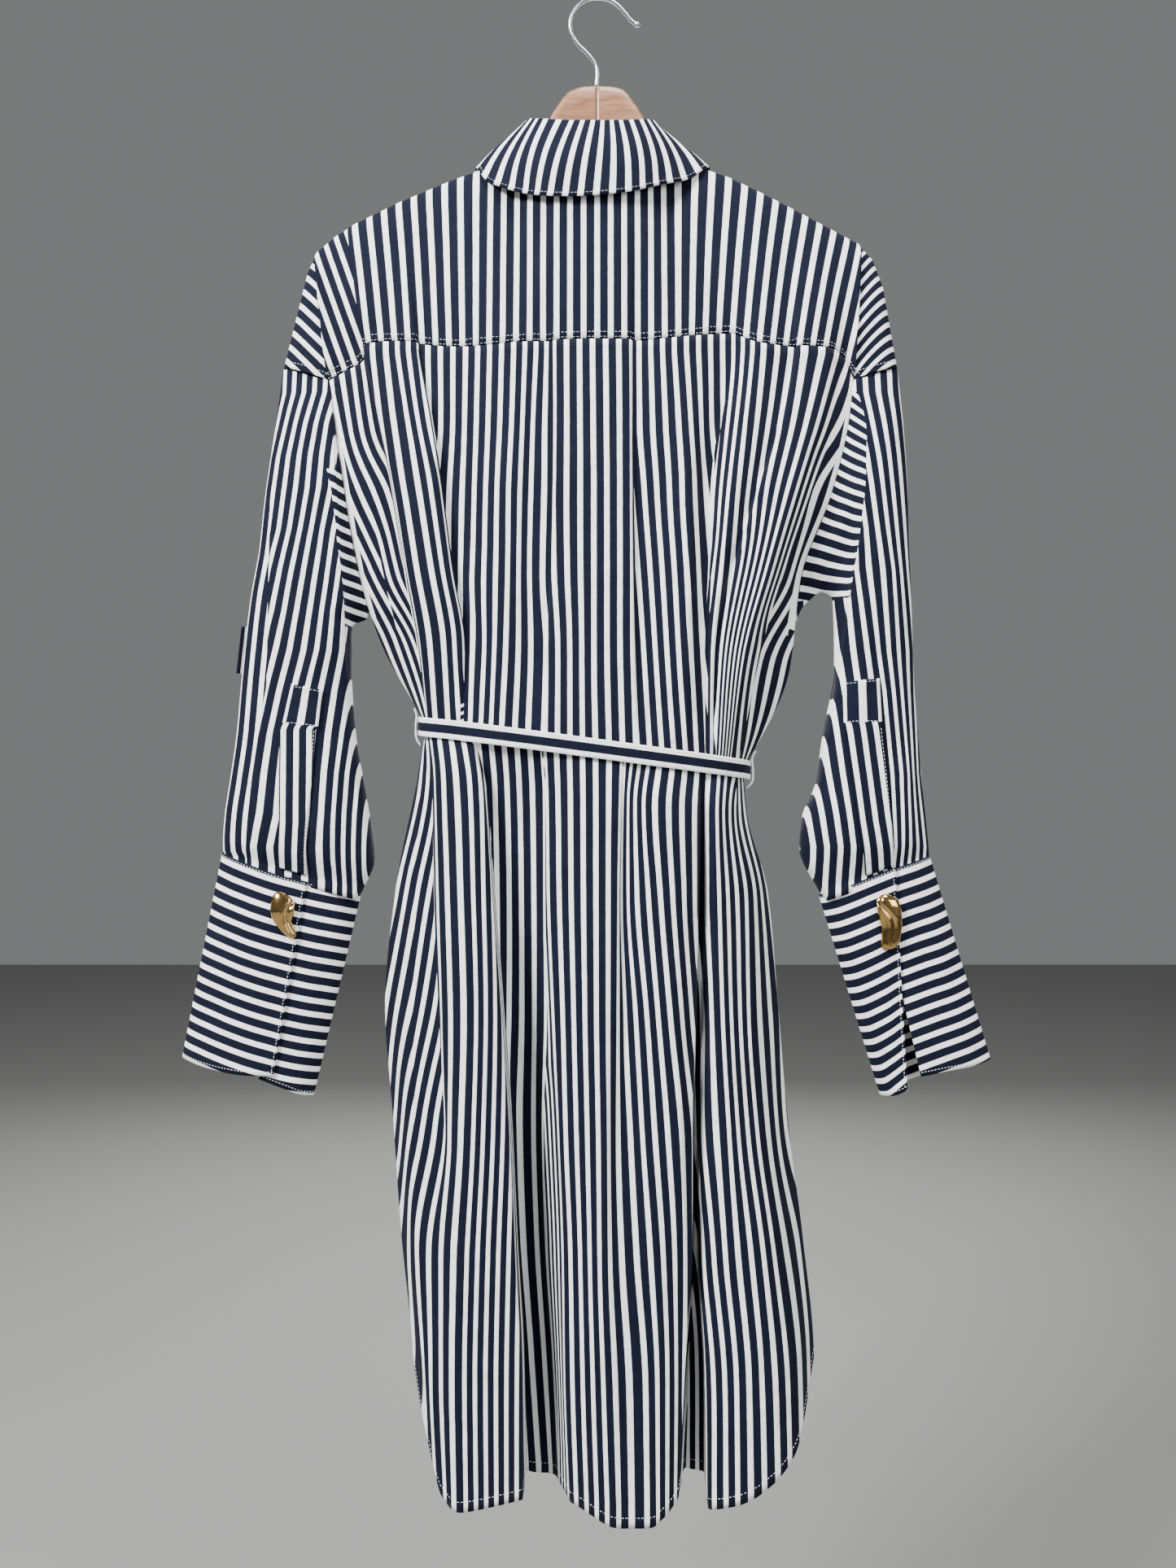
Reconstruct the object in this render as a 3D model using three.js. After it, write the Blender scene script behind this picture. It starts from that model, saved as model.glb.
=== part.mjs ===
// Striped shirt dress seen from the back, hung on a wooden hanger.
// Millimetres, Z up, X to the right seen from the back, back of the dress towards -Y.
// The origin is the inside top of the hanger hook.
import * as THREE from 'three';

const CLOTH = 1.2; // wall of every cloth piece
const SEAM = 0.3; // gap between pieces that are sewn together
const BELT_Z = -607; // height of the waist, where the belt gathers the dress
const WAIST = [-144.5, 118.8]; // left and right ends of the gathered waist
const BELT_TILT = 0.138; // the belt runs down to the right

// Back of the dress above the belt: one row per fold, left to right.
// at: place across the waist 0..1, top: height of the yoke seam, x and y: at the heights UPPER_Z.
const UPPER_Z = [-295, -353, -404, -468, -532, -607];
const UPPER = [
  { name: 'left_edge', at: 0.0000, top: -312, x: [-216.4, -209.3, -201.5, -191.6, -174.2, -144.5], y: [-10, -13, -13, -6, -0.3, -0.3] },
  { name: 'left_recess', at: 0.0175, top: -305, x: [-200.6, -191.7, -181.3, -170, -156.7, -139.8], y: [-14, -20, -24, -22, -16, -15.1] },
  { name: 'fold1_foot', at: 0.0326, top: -297, x: [-186.6, -173.9, -163, -152.5, -142.6, -135.9], y: [-16, -22, -26, -27, -24, -20.2] },
  { name: 'fold1_edge', at: 0.0426, top: -286.5, x: [-183.8, -169.7, -158.8, -148.3, -138.4, -133.2], y: [-21, -32, -37, -39, -37, -22.9] },
  { name: 'fold1_ridge', at: 0.1053, top: -286, x: [-164.1, -148.4, -138.1, -127.7, -118.6, -116.8], y: [-27, -38, -44, -46, -43, -34] },
  { name: 'fold2_edge', at: 0.1429, top: -287, x: [-142.6, -130, -122.5, -114.1, -105.4, -106.9], y: [-29, -38, -42, -44, -42, -38.3] },
  { name: 'fold2_foot', at: 0.1529, top: -287.5, x: [-140.6, -128.4, -121, -112.5, -103.5, -104.2], y: [-25, -30, -33, -35, -36, -39.2] },
  { name: 'left_soft', at: 0.2206, top: -290.5, x: [-101.6, -101.2, -100.9, -100.7, -91, -86.4], y: [-28, -33, -36, -38, -40, -44.2] },
  { name: 'soft_ridge', at: 0.2607, top: -288, x: [-63.5, -65.7, -68.7, -71.1, -74.1, -75.8], y: [-32, -38, -42, -44, -46, -46.2] },
  { name: 'pleat_near', at: 0.3534, top: -287.5, x: [-45.6, -46.8, -49.2, -50.4, -49, -51.4], y: [-31, -35, -38, -40, -42, -49] },
  { name: 'pleat_lfoot', at: 0.3835, top: -287.5, x: [-36, -35.3, -35.8, -37.7, -40.2, -43.5], y: [-31, -35, -38, -40, -42, -49.4] },
  { name: 'pleat_ledge', at: 0.3960, top: -287.5, x: [-33.4, -32.6, -33.1, -34.4, -36.8, -40.2], y: [-35, -40, -44, -46, -47, -49.6] },
  { name: 'pleat_mid', at: 0.5288, top: -287, x: [-3.4, -3.4, -3.4, -3.4, -3.4, -5.3], y: [-36, -42, -46, -48, -49, -50] },
  { name: 'pleat_redge', at: 0.6642, top: -287, x: [26, 25.8, 26.3, 26.9, 28.1, 30.4], y: [-35, -40, -44, -46, -47, -48.6] },
  { name: 'pleat_rfoot', at: 0.6792, top: -287, x: [28.6, 28.5, 29, 30.2, 32.1, 34.3], y: [-31, -35, -38, -40, -42, -48.2] },
  { name: 'right_soft', at: 0.8170, top: -284, x: [65.1, 68.5, 70.7, 70.5, 69.1, 70.6], y: [-32, -38, -42, -45, -46, -41.7] },
  { name: 'valley_left', at: 0.8722, top: -279, x: [105.6, 95.7, 89.7, 87.5, 84.6, 85.1], y: [-24, -27, -29, -32, -35, -36.7] },
  { name: 'valley_right', at: 0.8784, top: -279, x: [108.2, 98.2, 92.2, 90, 87.2, 86.8], y: [-24, -27, -29, -32, -35, -36] },
  { name: 'fan_ridge', at: 0.8860, top: -288, x: [129.3, 117.7, 107.1, 97.3, 89.8, 88.8], y: [-30, -36, -40, -42, -41, -35.1] },
  { name: 'fold3_foot', at: 0.8935, top: -290, x: [155.8, 142.3, 124.5, 105.6, 93.4, 90.7], y: [-25, -29, -33, -36, -37, -34.1] },
  { name: 'fold3_edge', at: 0.9023, top: -290, x: [159.6, 145.9, 128.6, 109.2, 96.7, 93.1], y: [-29, -35, -40, -43, -42, -33] },
  { name: 'fold4_ridge', at: 0.9499, top: -290, x: [185, 169.2, 153.4, 133.9, 115.3, 105.6], y: [-24, -33, -40, -43, -40, -24.7] },
  { name: 'fold4_foot', at: 0.9724, top: -294, x: [197, 186.8, 171.2, 147.1, 128.2, 111.5], y: [-15, -21, -25, -27, -24, -18.7] },
  { name: 'right_edge', at: 1.0000, top: -311, x: [208.5, 200.7, 187.7, 164.9, 157.1, 118.8], y: [-10, -13, -13, -5, -0.3, -0.3] },
];

// Back of the skirt: one row per fold, left to right.
// at: place across the waist 0..1, hem: height of the hem there, x and y: at the heights LOWER_Z.
const LOWER_Z = [-607, -646, -722, -815, -908, -1001, -1094, -1187];
const LOWER = [
  { name: 'left_edge', at: 0.0000, hem: -1100, x: [-144.5, -149.7, -162.9, -171.5, -164.9, -158.3, -148.9, -145], y: [-0.3, -0.3, -0.3, -0.3, -0.3, -0.3, -2, -6] },
  { name: 'left_side', at: 0.0175, hem: -1152, x: [-139.8, -141.9, -143.8, -145.1, -142.6, -141.1, -136.6, -129.7], y: [-15.1, -20, -25, -30, -34, -36, -36, -35] },
  { name: 'flute1_foot', at: 0.0326, hem: -1180, x: [-135.9, -129.9, -127.9, -123.3, -118.3, -127.7, -127.7, -123.6], y: [-20.2, -28, -34, -41, -46, -46, -46, -44] },
  { name: 'flute1_left', at: 0.0426, hem: -1188, x: [-133.2, -126.3, -124.3, -119.9, -116, -124.2, -124.4, -120.8], y: [-22.9, -37, -43, -48, -50, -49, -48, -46] },
  { name: 'flute1_ridge', at: 0.1053, hem: -1194, x: [-116.8, -102.6, -99, -96.1, -98.5, -103.5, -105.4, -104.4], y: [-34, -52, -57, -61, -62, -62, -61, -59] },
  { name: 'flute1_right', at: 0.1729, hem: -1185, x: [-98.9, -89, -81.2, -73.5, -67.1, -62.7, -57.7, -57.1], y: [-40.9, -49, -52, -55, -57, -58, -58, -57] },
  { name: 'recess1_left', at: 0.1830, hem: -1189, x: [-96.3, -86.7, -80.2, -72.9, -66.9, -62.7, -57.7, -56.4], y: [-41.7, -38, -32, -25, -18, -12, -8, -6] },
  { name: 'recess1_mid', at: 0.3158, hem: -1192, x: [-61.3, -55.6, -54.7, -54.4, -55.5, -53.1, -47.3, -41.4], y: [-48.1, -38, -30, -21, -13, -8, -6, -5] },
  { name: 'recess1_right', at: 0.3534, hem: -1190, x: [-51.4, -45.3, -44.9, -45.2, -46.1, -43.7, -37.9, -33.3], y: [-49, -41, -35, -27, -19, -13, -11, -12] },
  { name: 'lobe_wall', at: 0.3835, hem: -1189, x: [-43.5, -40.1, -40.2, -39.1, -41.9, -39.5, -33.7, -29.1], y: [-49.4, -44, -41, -35, -29, -24, -23, -26] },
  { name: 'lobe_wall2', at: 0.3885, hem: -1188, x: [-42.2, -39.1, -38.1, -34.3, -29.8, -26.6, -25.4, -22.3], y: [-49.5, -46, -47, -49, -52, -53, -51, -48] },
  { name: 'lobe_left', at: 0.4060, hem: -1188, x: [-37.6, -34.9, -33.6, -30.4, -27.8, -24, -22.8, -19.7], y: [-49.7, -49, -51, -54, -58, -60, -59, -56] },
  { name: 'lobe_ridge', at: 0.5288, hem: -1203, x: [-5.3, 4, 4, 4, 5.2, 5.8, 8.9, 12], y: [-50, -56, -60, -62, -63, -64, -64, -63] },
  { name: 'crease_left', at: 0.6216, hem: -1205, x: [19.2, 17.8, 16.5, 15.9, 15.3, 17.7, 23.2, 25.1], y: [-49.4, -56, -58, -58, -57, -60, -62, -61] },
  { name: 'crease_right', at: 0.6291, hem: -1205, x: [21.1, 19.4, 18.2, 20.4, 24.7, 29.5, 36.3, 37.5], y: [-49.3, -53, -53, -53, -54, -59, -61, -61] },
  { name: 'lobe_soft', at: 0.6642, hem: -1199, x: [30.4, 26, 26.5, 33.9, 39.5, 46.2, 50, 50.1], y: [-48.6, -54, -56, -58, -60, -61, -60, -59] },
  { name: 'lobe_right', at: 0.7168, hem: -1186, x: [44.2, 39.1, 43.9, 51.3, 59.4, 63.9, 64.2, 63.1], y: [-47.1, -55, -58, -60, -60, -57, -53, -51] },
  { name: 'lobe_end', at: 0.8546, hem: -1181, x: [80.5, 78.5, 77.8, 75.8, 73.1, 72.4, 67.5, 63.9], y: [-38.5, -47, -48, -49, -52, -53, -51, -49] },
  { name: 'recess2_left', at: 0.8622, hem: -1188, x: [82.5, 81.2, 81.1, 79.8, 78.2, 78.5, 74.8, 72.2], y: [-37.7, -38, -32, -25, -16, -9, -6, -5] },
  { name: 'recess2_right', at: 0.8722, hem: -1191, x: [85.1, 83.1, 83.6, 82.2, 80, 80.9, 84.6, 86.6], y: [-36.7, -38, -32, -26, -18, -11, -7, -6] },
  { name: 'flap_left', at: 0.8822, hem: -1197, x: [87.8, 85.3, 85.5, 84.4, 81.2, 80.4, 84.4, 86.1], y: [-35.5, -42, -40, -38, -38, -40, -45, -47] },
  { name: 'flap_ridge', at: 0.9023, hem: -1189, x: [93.1, 90, 90.9, 93.3, 98.1, 103.5, 111.5, 112.7], y: [-33, -46, -49, -51, -53, -55, -56, -56] },
  { name: 'flap_soft', at: 0.9499, hem: -1177, x: [105.6, 101.3, 105.4, 107.6, 113, 123.9, 131.8, 134.4], y: [-24.7, -40, -43, -46, -49, -52, -54, -53] },
  { name: 'flap_side', at: 0.9724, hem: -1157, x: [111.5, 110.1, 120.5, 121.9, 128.5, 141.4, 152, 154.5], y: [-18.7, -30, -34, -38, -41, -44, -45, -45] },
  { name: 'right_edge', at: 1.0000, hem: -1100, x: [118.8, 122.1, 139.2, 147.2, 155.1, 167, 175.9, 177.2], y: [-0.3, -0.3, -0.3, -0.3, -0.3, -0.3, -2, -6] },
];

// Yoke over the shoulders: at as above, ridge: [x, z] of the shoulder line, front: end in front [x, y, z].
// A row with neck instead ends at the back of the neck [x, y, z].
const YOKE = [
  { at: 0, ridge: [-253.4, -299.7], front: [-214.4, 10.2, -311.7] },
  { at: 0.0175, ridge: [-244.5, -264], front: [-217, 12, -286] },
  { at: 0.0326, ridge: [-234, -222], front: [-215, 14, -258] },
  { at: 0.0426, ridge: [-226.5, -206], front: [-211, 15, -240] },
  { at: 0.075, ridge: [-210, -191.5], front: [-199, 15.5, -226] },
  { at: 0.1053, ridge: [-192, -181], front: [-184, 16, -217] },
  { at: 0.1429, ridge: [-160, -165], front: [-155, 16, -203] },
  { at: 0.2206, ridge: [-118, -147.5], front: [-116, 16, -186] },
  { at: 0.2406, ridge: [-82, -134.5], front: [-73, 10, -141] },
  { at: 0.2607, neck: [-68, -8, -139.5] },
  { at: 0.3534, neck: [-50, -22, -144] },
  { at: 0.43, neck: [-27, -28, -148] },
  { at: 0.5288, neck: [-3, -30, -150] },
  { at: 0.63, neck: [22, -28, -148] },
  { at: 0.7168, neck: [42, -22, -144] },
  { at: 0.8, neck: [60, -9.2, -140] },
  { at: 0.845, ridge: [76, -134], front: [66, 10, -141] },
  { at: 0.8722, ridge: [108, -145], front: [106, 16, -183] },
  { at: 0.886, ridge: [134, -157.5], front: [130, 16, -196] },
  { at: 0.9023, ridge: [163, -172.5], front: [158, 16, -209] },
  { at: 0.9499, ridge: [190, -187], front: [181, 15.5, -222] },
  { at: 0.9724, ridge: [212, -199.5], front: [199, 15, -237] },
  { at: 0.985, ridge: [223, -211], front: [205, 14, -254] },
  { at: 0.993, ridge: [232, -234], front: [208, 12, -282] },
  { at: 1, ridge: [243.6, -299.1], front: [206.7, 10.2, -310.7] },
];

// Centre front of the neck and the hem of the fronts
const NECK_FRONT = { left: [-46, 25, -181], middle: [-5, 33, -196], right: [38, 25, -181] };
const FRONT_HEM = -1168;

// Collar: a row per station round the neck, roll: top of the fold, edge: lower edge of the fall, seam: neck seam.
const COLLAR = [
  { roll: [-9, 35, -176], edge: [-44, 41, -216], seam: [-8, 31, -193] },
  { roll: [-24, 33, -158], edge: [-74, 36, -200], seam: [-30, 28, -185] },
  { roll: [-43, 23, -128], edge: [-95, 19, -164], seam: [-55, 19, -165] },
  { roll: [-49, 14, -116], edge: [-98, 12, -144], seam: [-62.5, 13, -152] },
  { roll: [-52, 5, -106], edge: [-98.5, 1, -136.6], seam: [-66.5, 5, -141] },
  { roll: [-52, -3, -103.5], edge: [-95, -11, -142.5], seam: [-66, -1, -139] },
  { roll: [-50, -10, -102.5], edge: [-88, -16, -153.5], seam: [-63, -8, -138.5] },
  { roll: [-40, -21, -108], edge: [-60, -28, -168.6], seam: [-48, -19.5, -143] },
  { roll: [-22, -28, -112], edge: [-40, -35, -174], seam: [-27, -26, -148] },
  { roll: [0, -30, -113], edge: [-8.5, -38, -175.5], seam: [-3, -28, -149.6] },
  { roll: [20, -28, -112], edge: [26.7, -36, -171], seam: [21, -26, -148] },
  { roll: [38, -21, -108], edge: [51, -29, -162.6], seam: [40, -19.5, -143] },
  { roll: [47, -10, -103.5], edge: [74, -18, -153], seam: [55, -8, -138.5] },
  { roll: [49.5, -3, -104], edge: [86.5, -12, -142.5], seam: [58.5, -1, -139] },
  { roll: [49, 5, -106], edge: [92, 1, -135.6], seam: [59.5, 5, -141] },
  { roll: [47, 14, -116], edge: [91.5, 12, -143.5], seam: [55, 13, -152] },
  { roll: [41, 23, -128], edge: [88, 19, -162], seam: [47, 19, -165] },
  { roll: [18, 33, -158], edge: [66, 36, -200], seam: [22, 28, -185] },
  { roll: [3, 35, -176], edge: [36, 41, -216], seam: [0, 31, -193] },
];

// Sleeves: a row per ring below the armhole, down to the cuff.
// outer: [x, z] of the outer edge, fold: back fold on the body side, web: two points of the underarm web,
// under: [x, z] of the point under the arm, deep: half depth of the sleeve there.
const SLEEVES = [
  {
    armhole: [-253.8, -300.4],
    rings: [
      { outer: [-261, -352], fold: [-212.6, -19, -352], web: [[-203.5, -15, -417], [-191.5, -8, -475]], under: [-187, -503], deep: 19 },
      { outer: [-269.2, -409], fold: [-207.8, -22, -404], web: [[-204, -15, -440], [-194, -8, -484]], under: [-191, -504.5], deep: 22 },
      { outer: [-273.2, -446], fold: [-204.8, -22, -446], web: [[-203.4, -15, -465], [-197, -8, -493]], under: [-195, -506], deep: 23 },
      { outer: [-280.5, -487], fold: [-201.6, -20, -491], web: [[-201, -13, -496], [-199.2, -7, -504]], under: [-198.4, -509], deep: 23 },
      { outer: [-287.7, -550], fold: [-201.5, -14, -550], web: [[-200, -9, -550], [-199.2, -4, -550]], under: [-199, -550], deep: 22 },
      { outer: [-291.7, -595], fold: [-198.5, -14, -597], web: [[-196.6, -9, -597], [-195.6, -4, -597]], under: [-195.2, -597], deep: 22 },
      { outer: [-297, -632], fold: [-193, -14, -638], web: [[-190, -9, -638], [-188.6, -4, -638]], under: [-188.2, -638], deep: 23 },
      { outer: [-301.5, -662], fold: [-187, -14, -670], web: [[-184.6, -9, -670], [-183.4, -4, -670]], under: [-183, -670], deep: 24 },
      { outer: [-302.8, -680], fold: [-183.5, -13, -696], web: [[-181.4, -8, -697], [-180.6, -4, -697.5]], under: [-180.4, -698], deep: 22 },
      { outer: [-302.9, -690.5], fold: [-192.5, -11, -720.5], web: [[-190.6, -7, -721.5], [-189.8, -3, -722]], under: [-189.6, -722.5], deep: 14 },
    ],
  },
  {
    armhole: [244, -299.8],
    rings: [
      { outer: [249, -352], fold: [215, -19, -357], web: [[194, -14, -425], [173.5, -8, -467]], under: [167, -493], deep: 19 },
      { outer: [251.8, -400], fold: [213, -22, -402], web: [[198.5, -14, -437], [180, -8, -468]], under: [174, -486], deep: 22 },
      { outer: [252.8, -437], fold: [208, -22, -443], web: [[203, -14, -453], [188, -8, -470]], under: [182, -480.5], deep: 23 },
      { outer: [254.8, -480], fold: [201.4, -21, -486], web: [[199.5, -14, -486], [195, -8, -485.5]], under: [191, -486], deep: 23 },
      { outer: [257, -548], fold: [195.5, -14, -548], web: [[194, -9, -548], [193.2, -4, -548]], under: [193, -548], deep: 22 },
      { outer: [260.6, -597], fold: [186.4, -14, -597], web: [[184.8, -9, -597], [184, -4, -597]], under: [183.8, -597], deep: 22 },
      { outer: [264, -638], fold: [181, -14, -636], web: [[179, -9, -636], [178.2, -4, -636]], under: [178, -636], deep: 23 },
      { outer: [267, -665], fold: [170, -14, -664], web: [[168, -9, -664], [167.2, -4, -664]], under: [167, -664], deep: 24 },
      { outer: [268.6, -681], fold: [167.8, -13, -687], web: [[165.8, -8, -688], [165, -4, -688.5]], under: [164.8, -689], deep: 23 },
      { outer: [269.7, -692.2], fold: [183.5, -11, -721.5], web: [[181.6, -7, -722.5], [180.8, -3, -723]], under: [180.6, -723.5], deep: 14 },
    ],
  },
];

// Cuffs: a row per corner line round the cuff from the lapping end to the end under it, [x, y, z] at the sleeve and at the hem.
const CUFFS = [
  [
    { top: [-231.5, -17, -714.5], hem: [-258, -18, -869] },
    { top: [-262, -17.5, -706], hem: [-285, -18.5, -868] },
    { top: [-292, -11, -695.5], hem: [-318, -12, -862] },
    { top: [-303.4, 0, -691.2], hem: [-335.9, 0, -856.8] },
    { top: [-292, 11, -694.5], hem: [-320, 12, -861] },
    { top: [-246, 16, -707.5], hem: [-283, 17, -872] },
    { top: [-202, 11, -720.5], hem: [-243, 12, -884] },
    { top: [-190.7, 0, -724.1], hem: [-229, 0, -887.8] },
    { top: [-202, -10, -721], hem: [-238, -10.5, -885.5] },
    { top: [-222, -14.2, -716.5], hem: [-250, -14.6, -880] },
    { top: [-246, -15, -710.5], hem: [-270, -15.4, -872] },
  ],
  [
    { top: [238.5, -17, -702.5], hem: [247.5, -19, -880] },
    { top: [217, -17, -711], hem: [240, -17.5, -884] },
    { top: [190, -10, -722.5], hem: [233.5, -9, -887] },
    { top: [180.1, 0, -725.6], hem: [229.7, 0, -887.8] },
    { top: [190, 11, -722.5], hem: [240, 12, -884.5] },
    { top: [226, 16, -710], hem: [276, 17, -873] },
    { top: [258, 11, -698.5], hem: [309, 12, -862] },
    { top: [270, 0, -693.6], hem: [319.5, 0, -858.7] },
    { top: [258, -10, -697.5], hem: [305, -10, -862] },
    { top: [236, -14.2, -704.5], hem: [280, -14.5, -866] },
    { top: [222, -15, -710], hem: [259.5, -15.5, -870] },
  ],
];

// Sleeve plackets: a row per corner or sleeve ring, [x, z] of the left and the right edge
const PLACKETS = [
  [
    { left: [-242.2, -556.7], right: [-217.6, -561.2] },
    { left: [-249.3, -587], right: [-220.9, -590.4] },
    { left: [-251.9, -592], right: [-222.8, -592] },
    { left: [-251.9, -596], right: [-223.2, -596.6] },
    { left: [-252, -634.6], right: [-226, -636] },
    { left: [-252, -665.5], right: [-229.2, -667] },
    { left: [-253.5, -686.7], right: [-231, -689.6] },
    { left: [-254.4, -702.8], right: [-232.1, -709] },
  ],
  [
    { left: [196.2, -554.8], right: [224.5, -552.2] },
    { left: [196.4, -587], right: [226.5, -586.3] },
    { left: [197.2, -589], right: [226.7, -588.4] },
    { left: [198.5, -597], right: [227.5, -597] },
    { left: [203.8, -636.5], right: [232, -637.2] },
    { left: [207.5, -664.4], right: [234, -664.7] },
    { left: [211, -684.5], right: [235.6, -683] },
    { left: [214.8, -709.5], right: [237.6, -702] },
  ],
];

// Hanger arms: top and bottom line, [distance from the middle, z]
const ARM_BOTTOM = [[0, -121], [30, -130], [52, -160], [75, -176], [118, -185], [160, -198], [192, -208], [210, -213], [219, -214]];
const ARM_TOPS = [
  [[0, -71.2], [10, -71.6], [22.4, -76], [30, -85], [37.6, -97], [48, -122], [55, -138], [64, -145.5], [84, -147], [118, -151],
    [160, -168], [192, -184], [208, -194], [216, -202], [219, -208]],
  [[0, -71.2], [10, -71.5], [21, -74], [30, -84], [37.6, -96], [47, -124], [52, -141], [62, -146], [84, -147], [108, -150],
    [134, -161], [163, -176], [190, -190.5], [206, -200], [214, -206.5], [217, -210.5]],
];
const ARM_HALF = 6; // half thickness of the wood

// Hook wire: [x, z] of its middle line, ending in a small ball
const WIRE = 1.5;
const HOOK = [[0, -70.8], [0, -54], [-6, -45], [-14.8, -36], [-20.4, -26], [-21, -15.5], [-16.5, -5.8], [-8, 0.2], [0.5, 1.5], [9.5, 0.2],
  [17.6, -4.6], [24, -11.5], [29.2, -17.6], [35, -21]];

// A smooth run through a short row of values that never overshoots them
function slopes(at, values) {
  const step = at.slice(1).map((a, i) => (values[i + 1] - values[i]) / (a - at[i]));
  const last = step.length - 1;
  return at.map((a, i) => {
    if (i === 0) return step[0];
    if (i > last) return step[last];
    if (step[i - 1] * step[i] <= 0) return 0;
    const before = at[i] - at[i - 1];
    const after = at[i + 1] - at[i];
    const heavy = 2 * after + before;
    const light = after + 2 * before;
    return (heavy + light) / (heavy / step[i - 1] + light / step[i]);
  });
}

function smooth(at, values, x) {
  if (x <= at[0]) return values[0];
  const end = at.length - 1;
  if (x >= at[end]) return values[end];
  let i = 0;
  while (at[i + 1] < x) i += 1;
  const m = slopes(at, values);
  const span = at[i + 1] - at[i];
  const t = (x - at[i]) / span;
  const a = (1 + 2 * t) * (1 - t) ** 2;
  const b = t * (1 - t) ** 2 * span;
  const c = t * t * (3 - 2 * t);
  const d = t * t * (t - 1) * span;
  return a * values[i] + b * m[i] + c * values[i + 1] + d * m[i + 1];
}

const mix = (a, b, t) => a + (b - a) * t;
const vec = (p) => new THREE.Vector3(p[0], p[1], p[2]);
const UPPER_AT = UPPER.map((fold) => fold.at);
const LOWER_AT = LOWER.map((fold) => fold.at);
const UPPER_UP = UPPER_Z.map((z) => -z);
const LOWER_UP = LOWER_Z.map((z) => -z);

// A point of the back of the dress at place u across and height h, before the tilt of the waist
function tilted(u, h) {
  const middle = mix(WAIST[0], WAIST[1], u) - mix(WAIST[0], WAIST[1], 0.5);
  return h - BELT_TILT * middle * Math.exp(-(((h - BELT_Z) / 90) ** 2));
}

function backPoint(u, h) {
  const above = h > BELT_Z;
  const folds = above ? UPPER : LOWER;
  const down = above ? UPPER_UP : LOWER_UP;
  const at = above ? UPPER_AT : LOWER_AT;
  const x = smooth(at, folds.map((fold) => smooth(down, fold.x, -h)), u);
  const y = smooth(at, folds.map((fold) => smooth(down, fold.y, -h)), u);
  return new THREE.Vector3(x, y, tilted(u, h));
}

// A closed wall of cloth from a grid of points of its outer face, grid[row][column].
// outside is +1 or -1 for the side that the face is on; square gives the edges whose end is kept square to X.
function wall(grid, outside, thick = CLOTH, square = () => null) {
  const rows = grid.length;
  const columns = grid[0].length;
  const normal = (r, c) => {
    const along = grid[r][Math.min(c + 1, columns - 1)].clone().sub(grid[r][Math.max(c - 1, 0)]);
    const down = grid[Math.min(r + 1, rows - 1)][c].clone().sub(grid[Math.max(r - 1, 0)][c]);
    return along.cross(down).multiplyScalar(outside).normalize();
  };
  const points = [];
  for (const inner of [0, 1]) {
    for (let r = 0; r < rows; r += 1) {
      for (let c = 0; c < columns; c += 1) {
        const n = square(r, c) || normal(r, c);
        const p = grid[r][c].clone().addScaledVector(n, -thick * inner);
        points.push(p.x, p.y, p.z);
      }
    }
  }
  const id = (r, c, inner) => inner * rows * columns + r * columns + c;
  const faces = [];
  const quad = (a, b, c, d) => faces.push(a, b, c, a, c, d);
  for (let r = 0; r < rows - 1; r += 1) {
    for (let c = 0; c < columns - 1; c += 1) {
      quad(id(r, c, 0), id(r, c + 1, 0), id(r + 1, c + 1, 0), id(r + 1, c, 0));
      quad(id(r, c, 1), id(r + 1, c, 1), id(r + 1, c + 1, 1), id(r, c + 1, 1));
    }
    const e = columns - 1;
    quad(id(r, 0, 0), id(r + 1, 0, 0), id(r + 1, 0, 1), id(r, 0, 1));
    quad(id(r, e, 0), id(r, e, 1), id(r + 1, e, 1), id(r + 1, e, 0));
  }
  for (let c = 0; c < columns - 1; c += 1) {
    const e = rows - 1;
    quad(id(0, c, 0), id(0, c, 1), id(0, c + 1, 1), id(0, c + 1, 0));
    quad(id(e, c, 0), id(e, c + 1, 0), id(e, c + 1, 1), id(e, c, 1));
  }
  return solid(points, faces);
}

// A closed tube of cloth from rings of points of its outer face, grid[ring][place round it]
function tube(grid, outside, thick = CLOTH) {
  const rows = grid.length;
  const columns = grid[0].length;
  const round = (c) => (c + columns) % columns;
  const points = [];
  for (const inner of [0, 1]) {
    for (let r = 0; r < rows; r += 1) {
      for (let c = 0; c < columns; c += 1) {
        const along = grid[r][round(c + 1)].clone().sub(grid[r][round(c - 1)]);
        const down = grid[Math.min(r + 1, rows - 1)][c].clone().sub(grid[Math.max(r - 1, 0)][c]);
        const n = along.cross(down).multiplyScalar(outside).normalize();
        const p = grid[r][c].clone().addScaledVector(n, -thick * inner);
        points.push(p.x, p.y, p.z);
      }
    }
  }
  const id = (r, c, inner) => inner * rows * columns + r * columns + round(c);
  const faces = [];
  const quad = (a, b, c, d) => faces.push(a, b, c, a, c, d);
  for (let c = 0; c < columns; c += 1) {
    for (let r = 0; r < rows - 1; r += 1) {
      quad(id(r, c, 0), id(r, c + 1, 0), id(r + 1, c + 1, 0), id(r + 1, c, 0));
      quad(id(r, c, 1), id(r + 1, c, 1), id(r + 1, c + 1, 1), id(r, c + 1, 1));
    }
    const e = rows - 1;
    quad(id(0, c, 0), id(0, c, 1), id(0, c + 1, 1), id(0, c + 1, 0));
    quad(id(e, c, 0), id(e, c + 1, 0), id(e, c + 1, 1), id(e, c, 1));
  }
  return solid(points, faces);
}

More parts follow.
